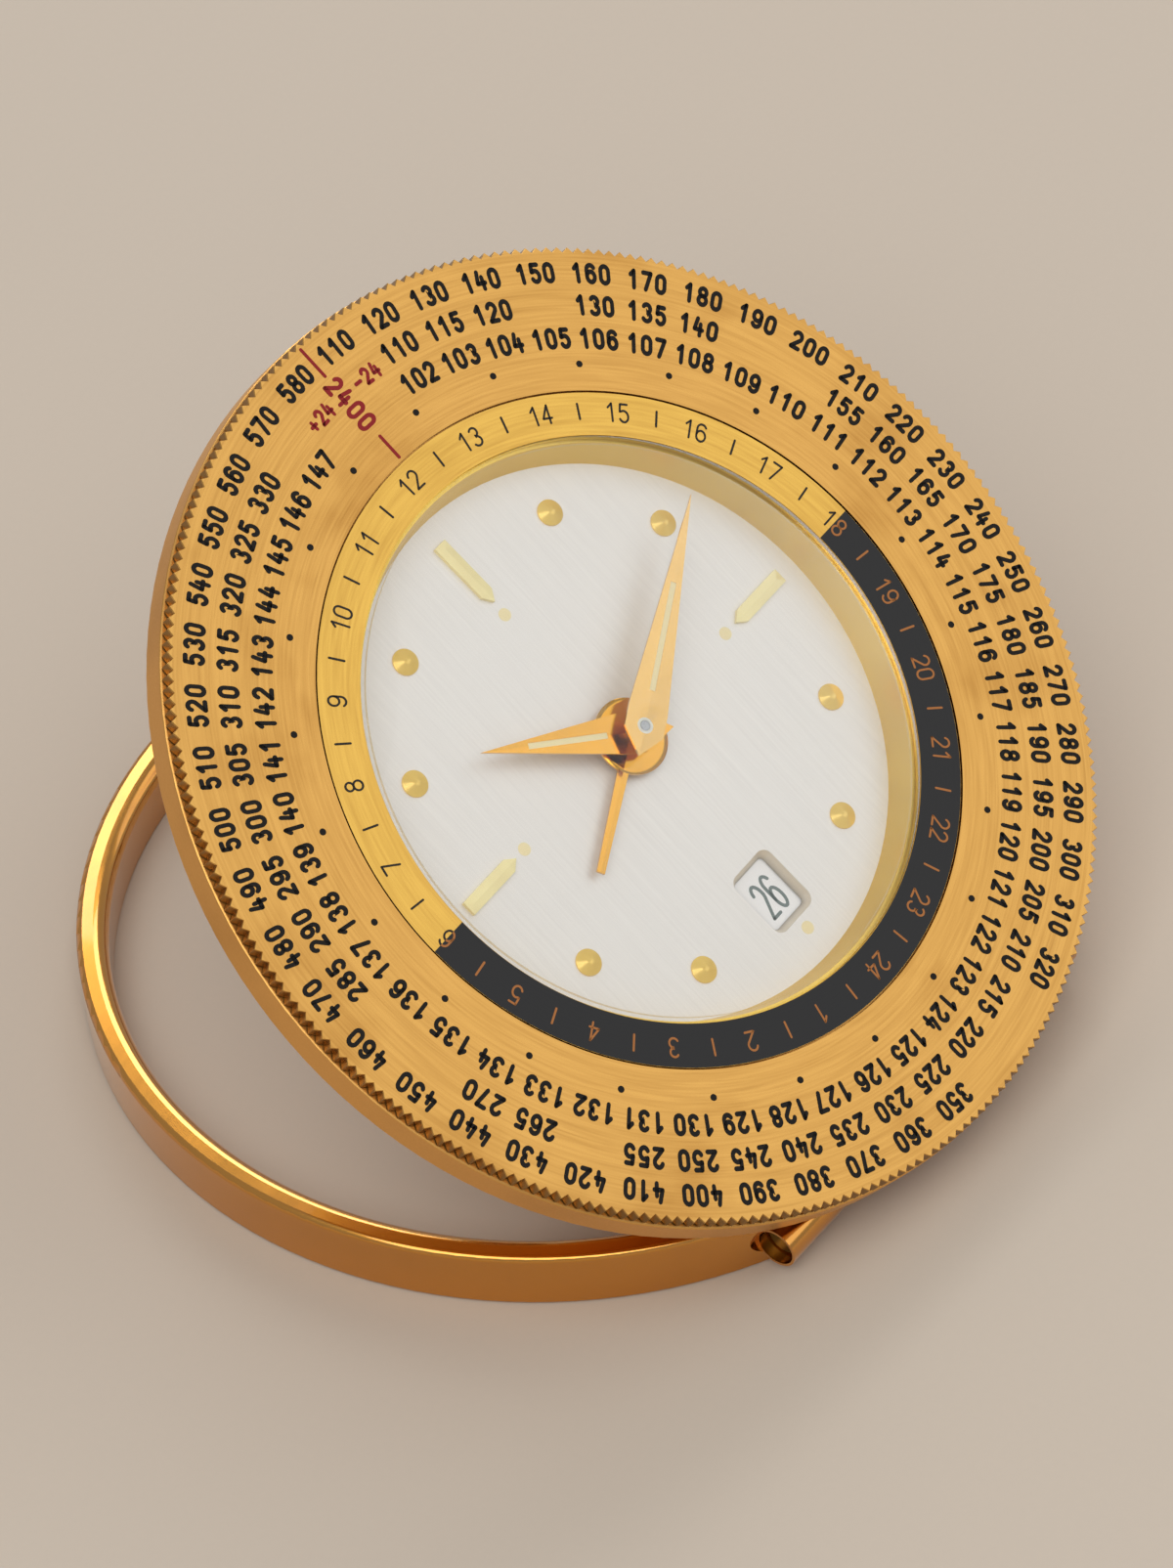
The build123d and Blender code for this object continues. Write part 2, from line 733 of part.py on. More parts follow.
with BuildPart() as baton_markers:
    for hour in (3, 9, 12):
        with BuildSketch(dial_plane):
            with Locations(Location((*polar(baton_reach, 90 - hour * 30), 0), 90 - hour * 30)):
                SlotOverall(baton_length, baton_width)
        extrude(amount=baton_height)
    chamfer(baton_markers.faces().sort_by(Axis(face_centre, head.z_dir))[-1:].edges(), baton_height / 2)
finish(baton_markers, "baton_markers")

with BuildPart() as cone_markers:
    for hour in (1, 2, 4, 5, 7, 8, 10, 11):
        turned([(0, dial_front), (cone_r, dial_front), (cone_r, dial_front - cone_wall),
                (0, dial_front - cone_height)], polar(cone_reach, 90 - hour * 30 + dial_turn))
finish(cone_markers, "cone_markers")


# Hands
def hand_plane(front, angle):
    """The plane of a hand's face, its local Y along the hand."""
    return facing(front, turn=-angle)


def dauphine(front, angle, length, tail, slot, tube_outer_r, label):
    """A dauphine hand with its pivot hole and an open slot for the lume."""
    with BuildPart() as hand:
        with BuildSketch(hand_plane(front, angle)):
            with BuildLine():
                Polyline((0, length), (hand_half_width, hand_shoulder), (hand_half_width, -hand_waist),
                         (0, -tail), (-hand_half_width, -hand_waist), (-hand_half_width, hand_shoulder),
                         close=True)
            make_face()
            with Locations((0, sum(slot) / 2)):
                Rectangle(slot_width, slot[1] - slot[0], mode=Mode.SUBTRACT)
            Circle(tube_outer_r, mode=Mode.SUBTRACT)
        extrude(amount=-hand_thickness)
    finish(hand, label)


def lume(front, angle, slot, label):
    """The lume strip that fills a hand's slot."""
    with BuildPart() as strip:
        with BuildSketch(hand_plane(front + lume_drop, angle)):
            with Locations((0, sum(slot) / 2)):
                Rectangle(slot_width, slot[1] - slot[0])
        extrude(amount=lume_drop - hand_thickness)
    finish(strip, label)


dauphine(minute_hand_front, minute_angle, minute_length, minute_tail, minute_slot, cannon_r,
         "minute_hand")
lume(minute_hand_front, minute_angle, minute_slot, "minute_lume")
dauphine(hour_hand_front, hour_angle, hour_length, hour_tail, hour_slot, hour_tube_r, "hour_hand")
lume(hour_hand_front, hour_angle, hour_slot, "hour_lume")

with BuildPart() as alarm_hand:
    blade_start = alarm_hub_r * alarm_blade_start_share
    with BuildSketch(hand_plane(alarm_hand_front, alarm_angle)):
        with BuildLine():
            Polyline((alarm_root_width / 2, blade_start), (alarm_tip_width / 2, alarm_length),
                     (-alarm_tip_width / 2, alarm_length), (-alarm_root_width / 2, blade_start), close=True)
        make_face()
        Circle(alarm_hub_r)
        Circle(alarm_tube_r, mode=Mode.SUBTRACT)
    extrude(amount=-hand_thickness)
    turned([(0, alarm_hand_front - overrun), (alarm_hub_r - alarm_hub_rim, alarm_hand_front - overrun),
            (alarm_hub_r - alarm_hub_rim, alarm_hand_front), (0, alarm_hand_front + alarm_hub_dish)],
           mode=Mode.SUBTRACT)
finish(alarm_hand, "alarm_hand")

# Motion work
minute_wheel_phase = mesh_phase(cannon_leaves, 0, minute_wheel_teeth, minute_wheel_angle)
hour_wheel_phase = mesh_phase(minute_pinion_leaves, 0, hour_wheel_teeth, minute_wheel_angle + 180)
hand_set_phase = mesh_phase(minute_wheel_teeth, minute_wheel_phase, cannon_leaves, hand_set_angle)
date_wheel_phase = mesh_phase(date_pinion_leaves, 0, date_wheel_teeth, date_wheel_angle)
alarm_pinion_phase = mesh_phase(alarm_wheel_teeth, 0, alarm_pinion_leaves, alarm_set_angle)

with BuildPart() as cannon_pinion:
    gear(cannon_leaves, minute_module, cannon_level)
    disc(cannon_r, minute_hand_front, cannon_level[1])
    disc(centre_arbor_r + seat_gap, minute_hand_front - overrun, cannon_level[1] + overrun,
         mode=Mode.SUBTRACT)
finish(cannon_pinion, "cannon_pinion")

with BuildPart() as hour_wheel:
    gear(hour_wheel_teeth, hour_module, hour_wheel_level, phase=hour_wheel_phase)
    gear(date_pinion_leaves, date_module, date_pinion_level)
    disc(hour_tube_r, hour_hand_front, hour_wheel_level[1])
    disc(cannon_r + running_gap, hour_hand_front - overrun, hour_wheel_level[1] + overrun,
         mode=Mode.SUBTRACT)
finish(hour_wheel, "hour_wheel")

with BuildPart() as alarm_wheel:
    gear(alarm_wheel_teeth, alarm_module, alarm_wheel_level)
    disc(alarm_tube_r, alarm_hand_front + alarm_hub_dish, alarm_wheel_level[1])
    disc(hour_tube_r + running_gap, alarm_hand_front - overrun, alarm_wheel_level[1] + overrun,
         mode=Mode.SUBTRACT)
finish(alarm_wheel, "alarm_wheel")

with BuildPart() as minute_wheel:
    gear(minute_wheel_teeth, minute_module, minute_wheel_level, minute_wheel_place, minute_wheel_phase)
    gear(minute_pinion_leaves, hour_module, minute_pinion_level, minute_wheel_place)
    disc(stud_r + running_gap, minute_pinion_level[0] - overrun, minute_wheel_level[1] + overrun,
         minute_wheel_place, mode=Mode.SUBTRACT)
finish(minute_wheel, "minute_wheel")

with BuildPart() as date_driver:
    gear(date_wheel_teeth, date_module, date_wheel_level, date_wheel_place, date_wheel_phase)
    disc(2 * stud_r, date_finger_level[0], date_wheel_level[1], date_wheel_place)
    with BuildSketch(facing(date_finger_level[1], date_wheel_place, date_wheel_angle - finger_rest)):
        Rectangle(finger_reach, finger_width, align=(Align.MIN, Align.CENTER))
    extrude(amount=date_finger_level[1] - date_finger_level[0])
    disc(stud_r + running_gap, date_finger_level[0] - overrun, date_wheel_level[1] + overrun,
         date_wheel_place, mode=Mode.SUBTRACT)
finish(date_driver, "date_driver")

with BuildPart() as date_ring:
    date_outline = tooth_outline(date_teeth, date_root_r, date_inner_r, tooth_root_share,
                                 tooth_tip_share, dial_turn)
    with BuildSketch(facing(date_front + date_thickness)):
        Circle(date_outer_r)
        with BuildLine():
            Polyline(date_outline, close=True)
        make_face(mode=Mode.SUBTRACT)
    extrude(amount=date_thickness)
finish(date_ring, "date_ring")

# Plates that carry the work
through_main = [(hand_set_place, set_arbor_r + running_gap), (alarm_set_place, set_arbor_r + running_gap),
                (intermediate_place, train_arbor_r + running_gap), (third_place, train_arbor_r + running_gap),
                (fourth_place, train_arbor_r + running_gap), (escape_place, fine_arbor_r + running_gap),
                (pallet_place, fine_arbor_r + running_gap), (balance_place, fine_arbor_r + running_gap),
                (barrel_place, barrel_arbor_r + running_gap),
                (alarm_barrel_place, barrel_arbor_r + running_gap),
                (strike_place, train_arbor_r + running_gap), (hammer_place, train_arbor_r + running_gap),
                ((0, 0), centre_arbor_r + running_gap)]
through_back = [hole for hole in through_main if hole[0] not in (pallet_place, balance_place)]
through_back.append((stop_place, stop_arbor_r + running_gap))

with BuildPart() as calendar_plate:
    turned([(calendar_hole_r, calendar_floor), (calendar_pocket_r, calendar_floor),
            (calendar_pocket_r, calendar_front), (calendar_r, calendar_front),
            (calendar_r, main_front), (calendar_hole_r, main_front)])
finish(calendar_plate, "calendar_plate")

with BuildPart() as main_plate:
    disc(main_plate_r, main_front, main_rear)
    for place, front in ((minute_wheel_place, minute_pinion_level[0]),
                         (date_wheel_place, date_finger_level[0]), (jumper_place, calendar_floor)):
        disc(stud_r, front, main_rear, place)
    for place, hole_r in through_main:
        disc(hole_r, main_front - overrun, main_rear + overrun, place, mode=Mode.SUBTRACT)
finish(main_plate, "main_plate")

with BuildPart() as date_jumper:
    jumper_out = direction_to((0, 0), jumper_place)
    jumper_nose = date_inner_r - running_gap - distance_to((0, 0), jumper_place)
    disc(jumper_post_r + jumper_width / 2, jumper_front, calendar_floor, jumper_place)
    with BuildSketch(facing(calendar_floor, jumper_place, jumper_out)):
        with BuildLine():
            Polyline((0, jumper_width), (0, -jumper_width), (jumper_nose, 0), close=True)
        make_face()
        with Locations(Location((0, 0), jumper_bend)):
            Rectangle(jumper_tail, jumper_blade, align=(Align.MIN, Align.CENTER))
    extrude(amount=calendar_floor - jumper_front)
finish(date_jumper, "date_jumper")

with BuildPart() as back_plate:
    disc(back_plate_r, back_front, back_rear)
    for place in boss_places:
        disc(boss_r, back_front, drum_rear, place)
        disc(back_screw_r + seat_gap, back_front - overrun, drum_rear + overrun, place,
             mode=Mode.SUBTRACT)
    for place in pillar_places:
        disc(screw_r + seat_gap, back_front - overrun, back_rear + overrun, place, mode=Mode.SUBTRACT)
    for place, hole_r in through_back:
        disc(hole_r, back_front - overrun, back_rear + overrun, place, mode=Mode.SUBTRACT)
    with BuildSketch(facing(back_rear + overrun, balance_place, cock_turn)):
        Circle(cock_opening_r)
        Rectangle(back_plate_r, cock_width + 2 * cock_gap, align=(Align.MIN, Align.CENTER))
    extrude(amount=back_rear - back_front + 2 * overrun, mode=Mode.SUBTRACT)
finish(back_plate, "back_plate")

with BuildPart() as pillars:
    for place in pillar_places:
        disc(pillar_r, main_rear, back_front, place)
        disc(screw_r + seat_gap, back_front - screw_length - air_gap, back_front + overrun, place,
             mode=Mode.SUBTRACT)
finish(pillars, "pillars")

with BuildPart() as plate_screws:
    for place in (*pillar_places, cock_place):
        screw(place, back_rear, screw_r, screw_head_r, screw_head_height,
              screw_length + back_rear - back_front)
finish(plate_screws, "plate_screws")

# Case back: a lid with a rim that plugs into the drum
with BuildPart() as case_back:
    turned([(0, drum_rear), (back_rim_r - back_rim_wall, drum_rear),
            (back_rim_r - back_rim_wall, back_rim_front), (back_rim_r, back_rim_front),
            (back_rim_r, drum_rear), (drum_r, drum_rear), (drum_r, case_back_rear), (0, case_back_rear)])
    fillet(case_back.edges().filter_by(GeomType.CIRCLE).group_by(Axis(face_centre, -head.z_dir))[-1],
           back_edge_round)
    back_holes = [(barrel_place, barrel_arbor_r), (alarm_barrel_place, barrel_arbor_r),
                  (hand_set_place, set_arbor_r), (alarm_set_place, set_arbor_r), (stop_place, stop_arbor_r)]
    back_holes += [(place, back_screw_r) for place in boss_places]
    for place, arbor_r in back_holes:
        disc(arbor_r + running_gap, drum_rear - overrun, case_back_rear + overrun, place,
             mode=Mode.SUBTRACT)
    with BuildSketch(facing(case_back_rear + overrun, balance_place)):
        with BuildLine():
            CenterArc((0, 0), regulator_slot_reach, regulator_rest - regulator_sweep, 2 * regulator_sweep)
        trace(line_width=regulator_slot_width)
    extrude(amount=back_thickness + 2 * overrun, mode=Mode.SUBTRACT)
finish(case_back, "case_back")

with BuildPart() as back_screws:
    for place in boss_places:
        screw(place, case_back_rear, back_screw_r, back_screw_head_r, screw_head_height,
              back_thickness + screw_head_height)
finish(back_screws, "back_screws")

with BuildPart() as gong_wire:
    with BuildSketch(section()):
        with Locations((gong_r, -gong_depth)):
            Circle(gong_wire_r)
    revolve(axis=axis_at(), revolution_arc=360 - gong_open)
    disc(gong_foot_r, main_rear, gong_depth + gong_foot_r, (gong_r, 0))
finish(gong_wire, "gong_wire")


# Wheels on arbors between the plates
def wheel(label, place, teeth, module, level, leaves, pinion_module, pinion_level, phase, arbor_r, ends):
    """A crossed wheel and its pinion on one arbor."""
    with BuildPart() as arbor:
        gear(teeth, module, level, place)
        crossings(pitch_r(teeth, module), level, place)
        gear(leaves, pinion_module, pinion_level, place, phase)
        disc(arbor_r, ends[0], ends[1], place)
    finish(arbor, label)


pivots = (main_front + air_gap, back_rear - air_gap)
wheel("intermediate_wheel", intermediate_place, intermediate_teeth, intermediate_module, level_a,
      intermediate_leaves, barrel_module, intermediate_pinion_level,
      mesh_phase(barrel_teeth, 0, intermediate_leaves, direction_to(barrel_place, intermediate_place)),
      train_arbor_r, pivots)
wheel("centre_wheel", (0, 0), centre_teeth, centre_module, level_c,
      centre_leaves, intermediate_module, centre_pinion_level,
      mesh_phase(intermediate_teeth, 0, centre_leaves, direction_to(intermediate_place, (0, 0))),
      centre_arbor_r, (minute_hand_front, back_rear - air_gap))
wheel("third_wheel", third_place, third_teeth, third_module, level_d,
      train_leaves, centre_module, third_pinion_level,
      mesh_phase(centre_teeth, 0, train_leaves, third_angle), train_arbor_r, pivots)
wheel("fourth_wheel", fourth_place, fourth_teeth, fourth_module, level_b,
      train_leaves, third_module, fourth_pinion_level,
      mesh_phase(third_teeth, 0, train_leaves, fourth_angle), train_arbor_r, pivots)

with BuildPart() as escape_wheel:
    gear(train_leaves, fourth_module, escape_pinion_level, escape_place,
         mesh_phase(fourth_teeth, 0, train_leaves, escape_angle))
    toothed(tooth_outline(escape_teeth, escape_r * escape_root_share, escape_r, escape_foot_share,
                          escape_tip_share, 0), level_c, escape_place)
    disc(fine_arbor_r, pivots[0], pivots[1], escape_place)
finish(escape_wheel, "escape_wheel")

with BuildPart() as pallet_lever:
    stone_reach = pallet_reach - escape_r - stone_gap
    with BuildSketch(facing(level_c[1], pallet_place, pallet_angle + 180)):
        Circle(2 * fine_arbor_r)
        Rectangle(pallet_width, 2 * pallet_spread)
        for side in (-1, 1):
            with Locations((0, side * pallet_spread)):
                Rectangle(stone_reach, pallet_width, align=(Align.MIN, Align.CENTER))
        Rectangle(pallet_arm, pallet_width, align=(Align.MAX, Align.CENTER))
    extrude(amount=level_c[1] - level_c[0])
    disc(fine_arbor_r, pivots[0], level_b[0], pallet_place)
finish(pallet_lever, "pallet_lever")

with BuildPart() as balance_wheel:
    with BuildSketch(facing(level_a[1], balance_place)):
        Circle(balance_r)
        Circle(balance_r - balance_rim, mode=Mode.SUBTRACT)
        Rectangle(2 * balance_r - balance_rim, balance_arm)
        Circle(roller_r)
    extrude(amount=level_a[1] - level_a[0])
    disc(roller_r, level_c[0], level_c[1], balance_place)
    disc(fine_arbor_r, pivots[0], cock_rear - air_gap, balance_place)
finish(balance_wheel, "balance_wheel")

# Hairspring: a flat spiral of half turns, held by a stud on the cock's foot side
def spiral(place, depth, inner_r, pitch, turns, width, height, label):
    """A flat spiral strip of half turns about two centres a half pitch apart."""
    with BuildPart() as spring:
        with BuildSketch(facing(depth, place)):
            with BuildLine():
                for half in range(2 * turns):
                    centre_x = 0 if half % 2 == 0 else pitch / 2
                    CenterArc((centre_x, 0), inner_r + half * pitch / 2, 180 * (half % 2), 180)
            trace(line_width=width)
        extrude(amount=height)
    finish(spring, label)


spiral(balance_place, level_b[1], hairspring_inner_r, hairspring_pitch, hairspring_turns,
       hairspring_width, level_b[1] - level_b[0], "hairspring")

# Cock that carries the balance, with the boss that the regulator turns on
with BuildPart() as balance_cock:
    disc(cock_foot_r, main_rear, back_rear, cock_place)
    with BuildSketch(facing(back_rear, balance_place, cock_turn)):
        Circle(cock_width / 2)
        Rectangle(cock_length, cock_width, align=(Align.MIN, Align.CENTER))
    extrude(amount=back_rear - back_front)
    disc(regulator_boss_r, back_rear, regulator_rear, balance_place)
    disc(fine_arbor_r + running_gap, back_front - overrun, cock_rear, balance_place, mode=Mode.SUBTRACT)
    disc(screw_r + seat_gap, back_front - screw_length - air_gap, back_rear + overrun, cock_place,
         mode=Mode.SUBTRACT)
finish(balance_cock, "balance_cock")

with BuildPart() as regulator_lever:
    with BuildSketch(facing(regulator_rear, balance_place, regulator_rest)):
        Circle(regulator_ring_r)
        Rectangle(regulator_length, regulator_width, align=(Align.MIN, Align.CENTER))
        Circle(regulator_boss_r + running_gap, mode=Mode.SUBTRACT)
    extrude(amount=regulator_rear - regulator_front)
    disc(regulator_width / 2, regulator_rear, case_back_rear,
         polar(regulator_slot_reach, regulator_rest, balance_place))
finish(regulator_lever, "regulator_lever")


# Barrels, mainsprings, winding arbors and keys
def barrel(label, place, teeth, radius):
    """An open spring barrel with its toothed flange."""
    with BuildPart() as drum:
        gear(teeth, barrel_module, (barrel_front, barrel_tooth_rear), place)
        disc(radius, barrel_front, barrel_rear, place)
        disc(radius - barrel_wall, barrel_front + barrel_wall, barrel_rear + overrun, place,
             mode=Mode.SUBTRACT)
        disc(barrel_arbor_r + running_gap, barrel_front - overrun, barrel_rear, place, mode=Mode.SUBTRACT)
    finish(drum, label)


def mainspring(label, place, radius):
    """The mainspring of a barrel, from just off the arbor to just inside the wall."""
    inner_r = barrel_arbor_r + mainspring_wall_gap + mainspring_width / 2
    outer_r = radius - barrel_wall - mainspring_wall_gap - mainspring_width / 2
    pitch = (outer_r - inner_r) / mainspring_turns
    spiral(place, barrel_rear - mainspring_wall_gap, inner_r, pitch, mainspring_turns, mainspring_width,
           mainspring_height, label)


def winding_arbor(label, place):
    """A barrel arbor with its ratchet."""
    with BuildPart() as arbor:
        disc(barrel_arbor_r, main_front + air_gap, key_front + key_hub_height, place)
        toothed(tooth_outline(ratchet_teeth, ratchet_r * escape_root_share, ratchet_r,
                              escape_foot_share, escape_tip_share, 0), ratchet_level, place)
    finish(arbor, label)


def winding_key(label, place, turn):
    """A butterfly key with a hole in each wing."""
    with BuildPart() as key:
        disc(key_hub_r, key_front, key_front + key_hub_height, place)
        wing_middle = key_front + key_hub_height + key_wing_height / 2 - key_wing_lap
        with BuildSketch(section(place, turn)):
            with Locations((0, -wing_middle)):
                RectangleRounded(2 * key_reach, key_wing_height, key_round)
            with Locations((-key_hole_reach, -wing_middle), (key_hole_reach, -wing_middle)):
                Circle(key_hole_r, mode=Mode.SUBTRACT)
        extrude(amount=key_wing_thickness / 2, both=True)
        disc(barrel_arbor_r + seat_gap, key_front - overrun, key_front + key_hub_height + seat_gap, place,
             mode=Mode.SUBTRACT)
    finish(key, label)


key_front = case_back_rear + key_gap
for name, place, teeth, radius, turn in (
        ("time", barrel_place, barrel_teeth, barrel_r, time_key_turn),
        ("alarm", alarm_barrel_place, alarm_barrel_teeth, alarm_barrel_r, alarm_key_turn)):
    barrel(f"{name}_barrel", place, teeth, radius)
    mainspring(f"{name}_mainspring", place, radius)
    winding_arbor(f"{name}_arbor", place)
    winding_key(f"{name}_key", place, turn)

with BuildPart() as clicks:
    for place, direction in ((barrel_place, time_click_angle), (alarm_barrel_place, alarm_click_angle)):
        foot = polar(click_reach, direction, place)
        disc(click_foot_r, back_rear, ratchet_level[1], foot)
        with BuildSketch(facing(ratchet_level[1], foot, direction + 180)):
            with BuildLine():
                Polyline((0, click_width), (0, -click_width), (click_reach - ratchet_r - click_gap, 0),
                         close=True)
            make_face()
        extrude(amount=ratchet_level[1] - ratchet_level[0])
finish(clicks, "clicks")

# Alarm striking work
with BuildPart() as strike_wheel:
    gear(strike_leaves, barrel_module, intermediate_pinion_level, strike_place,
         mesh_phase(alarm_barrel_teeth, 0, strike_leaves, strike_angle))
    toothed(tooth_outline(strike_teeth, strike_r * escape_root_share, strike_r, escape_foot_share,
                          escape_tip_share, 0), level_a, strike_place)
    disc(train_arbor_r, pivots[0], pivots[1], strike_place)
finish(strike_wheel, "strike_wheel")

with BuildPart() as alarm_hammer:
    disc(2 * train_arbor_r, level_a[0], level_a[1], hammer_place)
    for target, length in ((hammer_head, hammer_arm), (strike_place, hammer_horn)):
        with BuildSketch(facing(level_a[1], hammer_place, direction_to(hammer_place, target))):
            Rectangle(length, hammer_width, align=(Align.MIN, Align.CENTER))
        extrude(amount=level_a[1] - level_a[0])
    disc(hammer_head_r, level_d[0], level_a[1], hammer_head)
    disc(train_arbor_r, pivots[0], pivots[1], hammer_place)
finish(alarm_hammer, "alarm_hammer")


# Setting knobs and the alarm stop
def set_knob(label, place, leaves, module, level, phase):
    """A grooved knob on an arbor whose pinion turns the motion work."""
    with BuildPart() as knob:
        gear(leaves, module, level, place, phase)
        disc(set_arbor_r, level[0], key_front + knob_height / 2, place)
        disc(knob_r, key_front, key_front + knob_height, place)
        rim = knob.edges().filter_by(GeomType.CIRCLE).group_by(Axis(face_centre, -head.z_dir))[-1]
        chamfer(rim, knob_chamfer)
        with BuildSketch(facing(key_front + knob_height + overrun, place)):
            with PolarLocations(knob_r, knob_teeth):
                Circle(knob_groove_r)
        extrude(amount=knob_height + overrun, mode=Mode.SUBTRACT)
    finish(knob, label)


set_knob("hand_set_knob", hand_set_place, cannon_leaves, minute_module, minute_wheel_level, hand_set_phase)
set_knob("alarm_set_knob", alarm_set_place, alarm_pinion_leaves, alarm_module, alarm_pinion_level,
         alarm_pinion_phase)

stop_collar_rear = back_front - stop_travel - air_gap
with BuildPart() as alarm_stop:
    turned([(0, stop_collar_rear - stop_collar_thickness),
            (stop_collar_r, stop_collar_rear - stop_collar_thickness), (stop_collar_r, stop_collar_rear),
            (stop_arbor_r, stop_collar_rear), (stop_arbor_r, key_front),
            (stop_knob_r, key_front), (stop_knob_r, key_front + stop_knob_height - knob_chamfer),
            (stop_knob_r - knob_chamfer, key_front + stop_knob_height),
            (0, key_front + stop_knob_height)], stop_place)
finish(alarm_stop, "alarm_stop")
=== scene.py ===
import json
import math

import bmesh
import bpy
from bpy.props import FloatProperty, FloatVectorProperty, IntProperty, PointerProperty
from mathutils import Matrix, Vector


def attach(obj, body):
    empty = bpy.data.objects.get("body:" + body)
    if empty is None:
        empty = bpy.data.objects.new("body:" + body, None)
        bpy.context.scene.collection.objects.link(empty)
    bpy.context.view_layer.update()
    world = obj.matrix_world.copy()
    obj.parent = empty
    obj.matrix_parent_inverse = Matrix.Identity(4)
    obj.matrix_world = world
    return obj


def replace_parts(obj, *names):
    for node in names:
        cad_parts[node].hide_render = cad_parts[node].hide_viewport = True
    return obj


bl_info = {
    "name": "World time desk clock",
    "version": (1, 0, 0),
    "blender": (4, 5, 0),
    "location": "3D View > Sidebar > Clock",
    "description": "Numbers, finishes, hands, glass and studio for a folding world time clock",
    "category": "Object",
}

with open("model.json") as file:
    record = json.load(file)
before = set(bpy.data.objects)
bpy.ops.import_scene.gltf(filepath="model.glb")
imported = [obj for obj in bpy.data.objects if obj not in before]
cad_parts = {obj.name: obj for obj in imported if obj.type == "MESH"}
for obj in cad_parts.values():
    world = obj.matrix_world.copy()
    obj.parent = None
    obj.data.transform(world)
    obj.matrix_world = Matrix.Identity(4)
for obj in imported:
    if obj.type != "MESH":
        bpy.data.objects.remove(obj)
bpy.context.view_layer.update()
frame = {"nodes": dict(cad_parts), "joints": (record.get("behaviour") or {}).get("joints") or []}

MM = 0.001
BEZEL_JOINT = next(joint for joint in frame["joints"] if joint["name"] == "bezel_turn")
ACROSS = Vector((1, 0, 0))
OUT = Vector(BEZEL_JOINT["axis"])
UP = OUT.cross(ACROSS)
# The bezel's joint lies this far behind its face.
JOINT_DEPTH = 1.0 * MM
CENTRE = Vector(BEZEL_JOINT["pos_m"]) + OUT * JOINT_DEPTH

# Depths behind the bezel's face
HOUR_RING_DEPTH = 0.05 * MM
# Faces of the brushed gilt deeper than this behind its front get painted shade.
PAINTED_SHADE_DEPTH = 0.12 * MM
DIAL_DEPTH = 3.5 * MM
DIAL_THICKNESS = 0.8 * MM
DATE_DEPTH = 4.4 * MM

# Thicknesses of what is printed or filled in
INK_THICKNESS = 0.02 * MM
RING_INK_THICKNESS = 0.012 * MM
LUME_THICKNESS = 0.03 * MM


def on_face(x, y, height=0.0):
    """A point of the row frame from a place on the face and a height in front of it."""
    return CENTRE + ACROSS * x + UP * y + OUT * height


def clock_place(radius, angle):
    """A place on the face at a radius, its angle in degrees clockwise from twelve."""
    turn = math.radians(angle)
    return radius * math.sin(turn), radius * math.cos(turn)


def turned_spot(angle, rise, middle=(0.0, 0.0), squeeze=1.0):
    """A function that squeezes a flat point sideways, turns it clockwise by an angle in degrees
    and puts it on the face around a middle, at a height in front of it."""
    turn = math.radians(angle)

    def spot(x, y):
        side = x * squeeze
        return on_face(middle[0] + side * math.cos(turn) + y * math.sin(turn),
                       middle[1] - side * math.sin(turn) + y * math.cos(turn), rise)

    return spot


def tone(red, green, blue):
    """A linear colour from the 0 to 255 values that a screen shows."""
    shares = [channel / 255 for channel in (red, green, blue)]
    return tuple(c / 12.92 if c <= 0.04045 else ((c + 0.055) / 1.055) ** 2.4 for c in shares)


def scaled(shade, share):
    """A colour at a share of its brightness, no channel above white."""
    return tuple(min(1.0, channel * share) for channel in shade)


# Sizes and colours that a user would change
def length(name, description, millimetres):
    return FloatProperty(name=name, description=description, default=millimetres * MM,
                         min=0.0, subtype="DISTANCE", unit="LENGTH", precision=5)


def colour(name, description, *channels):
    return FloatVectorProperty(name=name, description=description, default=tone(*channels),
                               min=0.0, max=1.0, size=3, subtype="COLOR")


class ClockSizes(bpy.types.PropertyGroup):
    outer_row: length("Outer row", "Radius of the outer row of numbers", 38.1)
    middle_row: length("Middle row", "Radius of the middle row of numbers", 35.35)
    inner_row: length("Inner row", "Radius of the inner row of numbers", 32.5)
    number_height: length("Number height", "Height of the numbers on the bezel", 1.85)
    number_stroke: length("Number stroke", "Line width of the numbers on the bezel", 0.4)
    dot_row: length("Dot row", "Radius of the row of dots on the bezel", 30.3)
    dot_size: length("Dot size", "Diameter of the dots on the bezel", 0.56)
    hour_row: length("Hour row", "Radius of the 24-hour numerals", 26.3)
    hour_height: length("Hour height", "Height of the 24-hour numerals", 1.7)
    hour_stroke: length("Hour stroke", "Line width of the 24-hour numerals", 0.18)
    tick_length: length("Tick length", "Length of the half-hour ticks", 1.3)
    date_row: length("Date row", "Radius of the date numerals", 16.8)
    date_height: length("Date height", "Height of the date numerals", 3.3)
    date_stroke: length("Date stroke", "Line width of the date numerals", 0.28)
    lume_size: length("Lume dot", "Diameter of the luminous dots on the dial", 1.1)
    print_rise: length("Print height", "How far a print stands off its ground", 0.012)
    bezel_radius: length("Bezel radius", "Outside of the bezel over its notches", 40.3)
    notch_depth: length("Notch depth", "Depth of a notch in the bezel's edge", 0.45)
    edge_break: length("Edge break", "Chamfer along the bezel's notched edge", 0.06)
    notch_count: IntProperty(name="Notches", description="Notches in the bezel's edge", default=270)
    dial_turn: FloatProperty(name="Dial turn", description="Turn of the dial against the bezel",
                             default=math.radians(-1.8), subtype="ANGLE", unit="ROTATION")
    row_places: IntProperty(name="Places", description="Places for a number in a row", default=48)


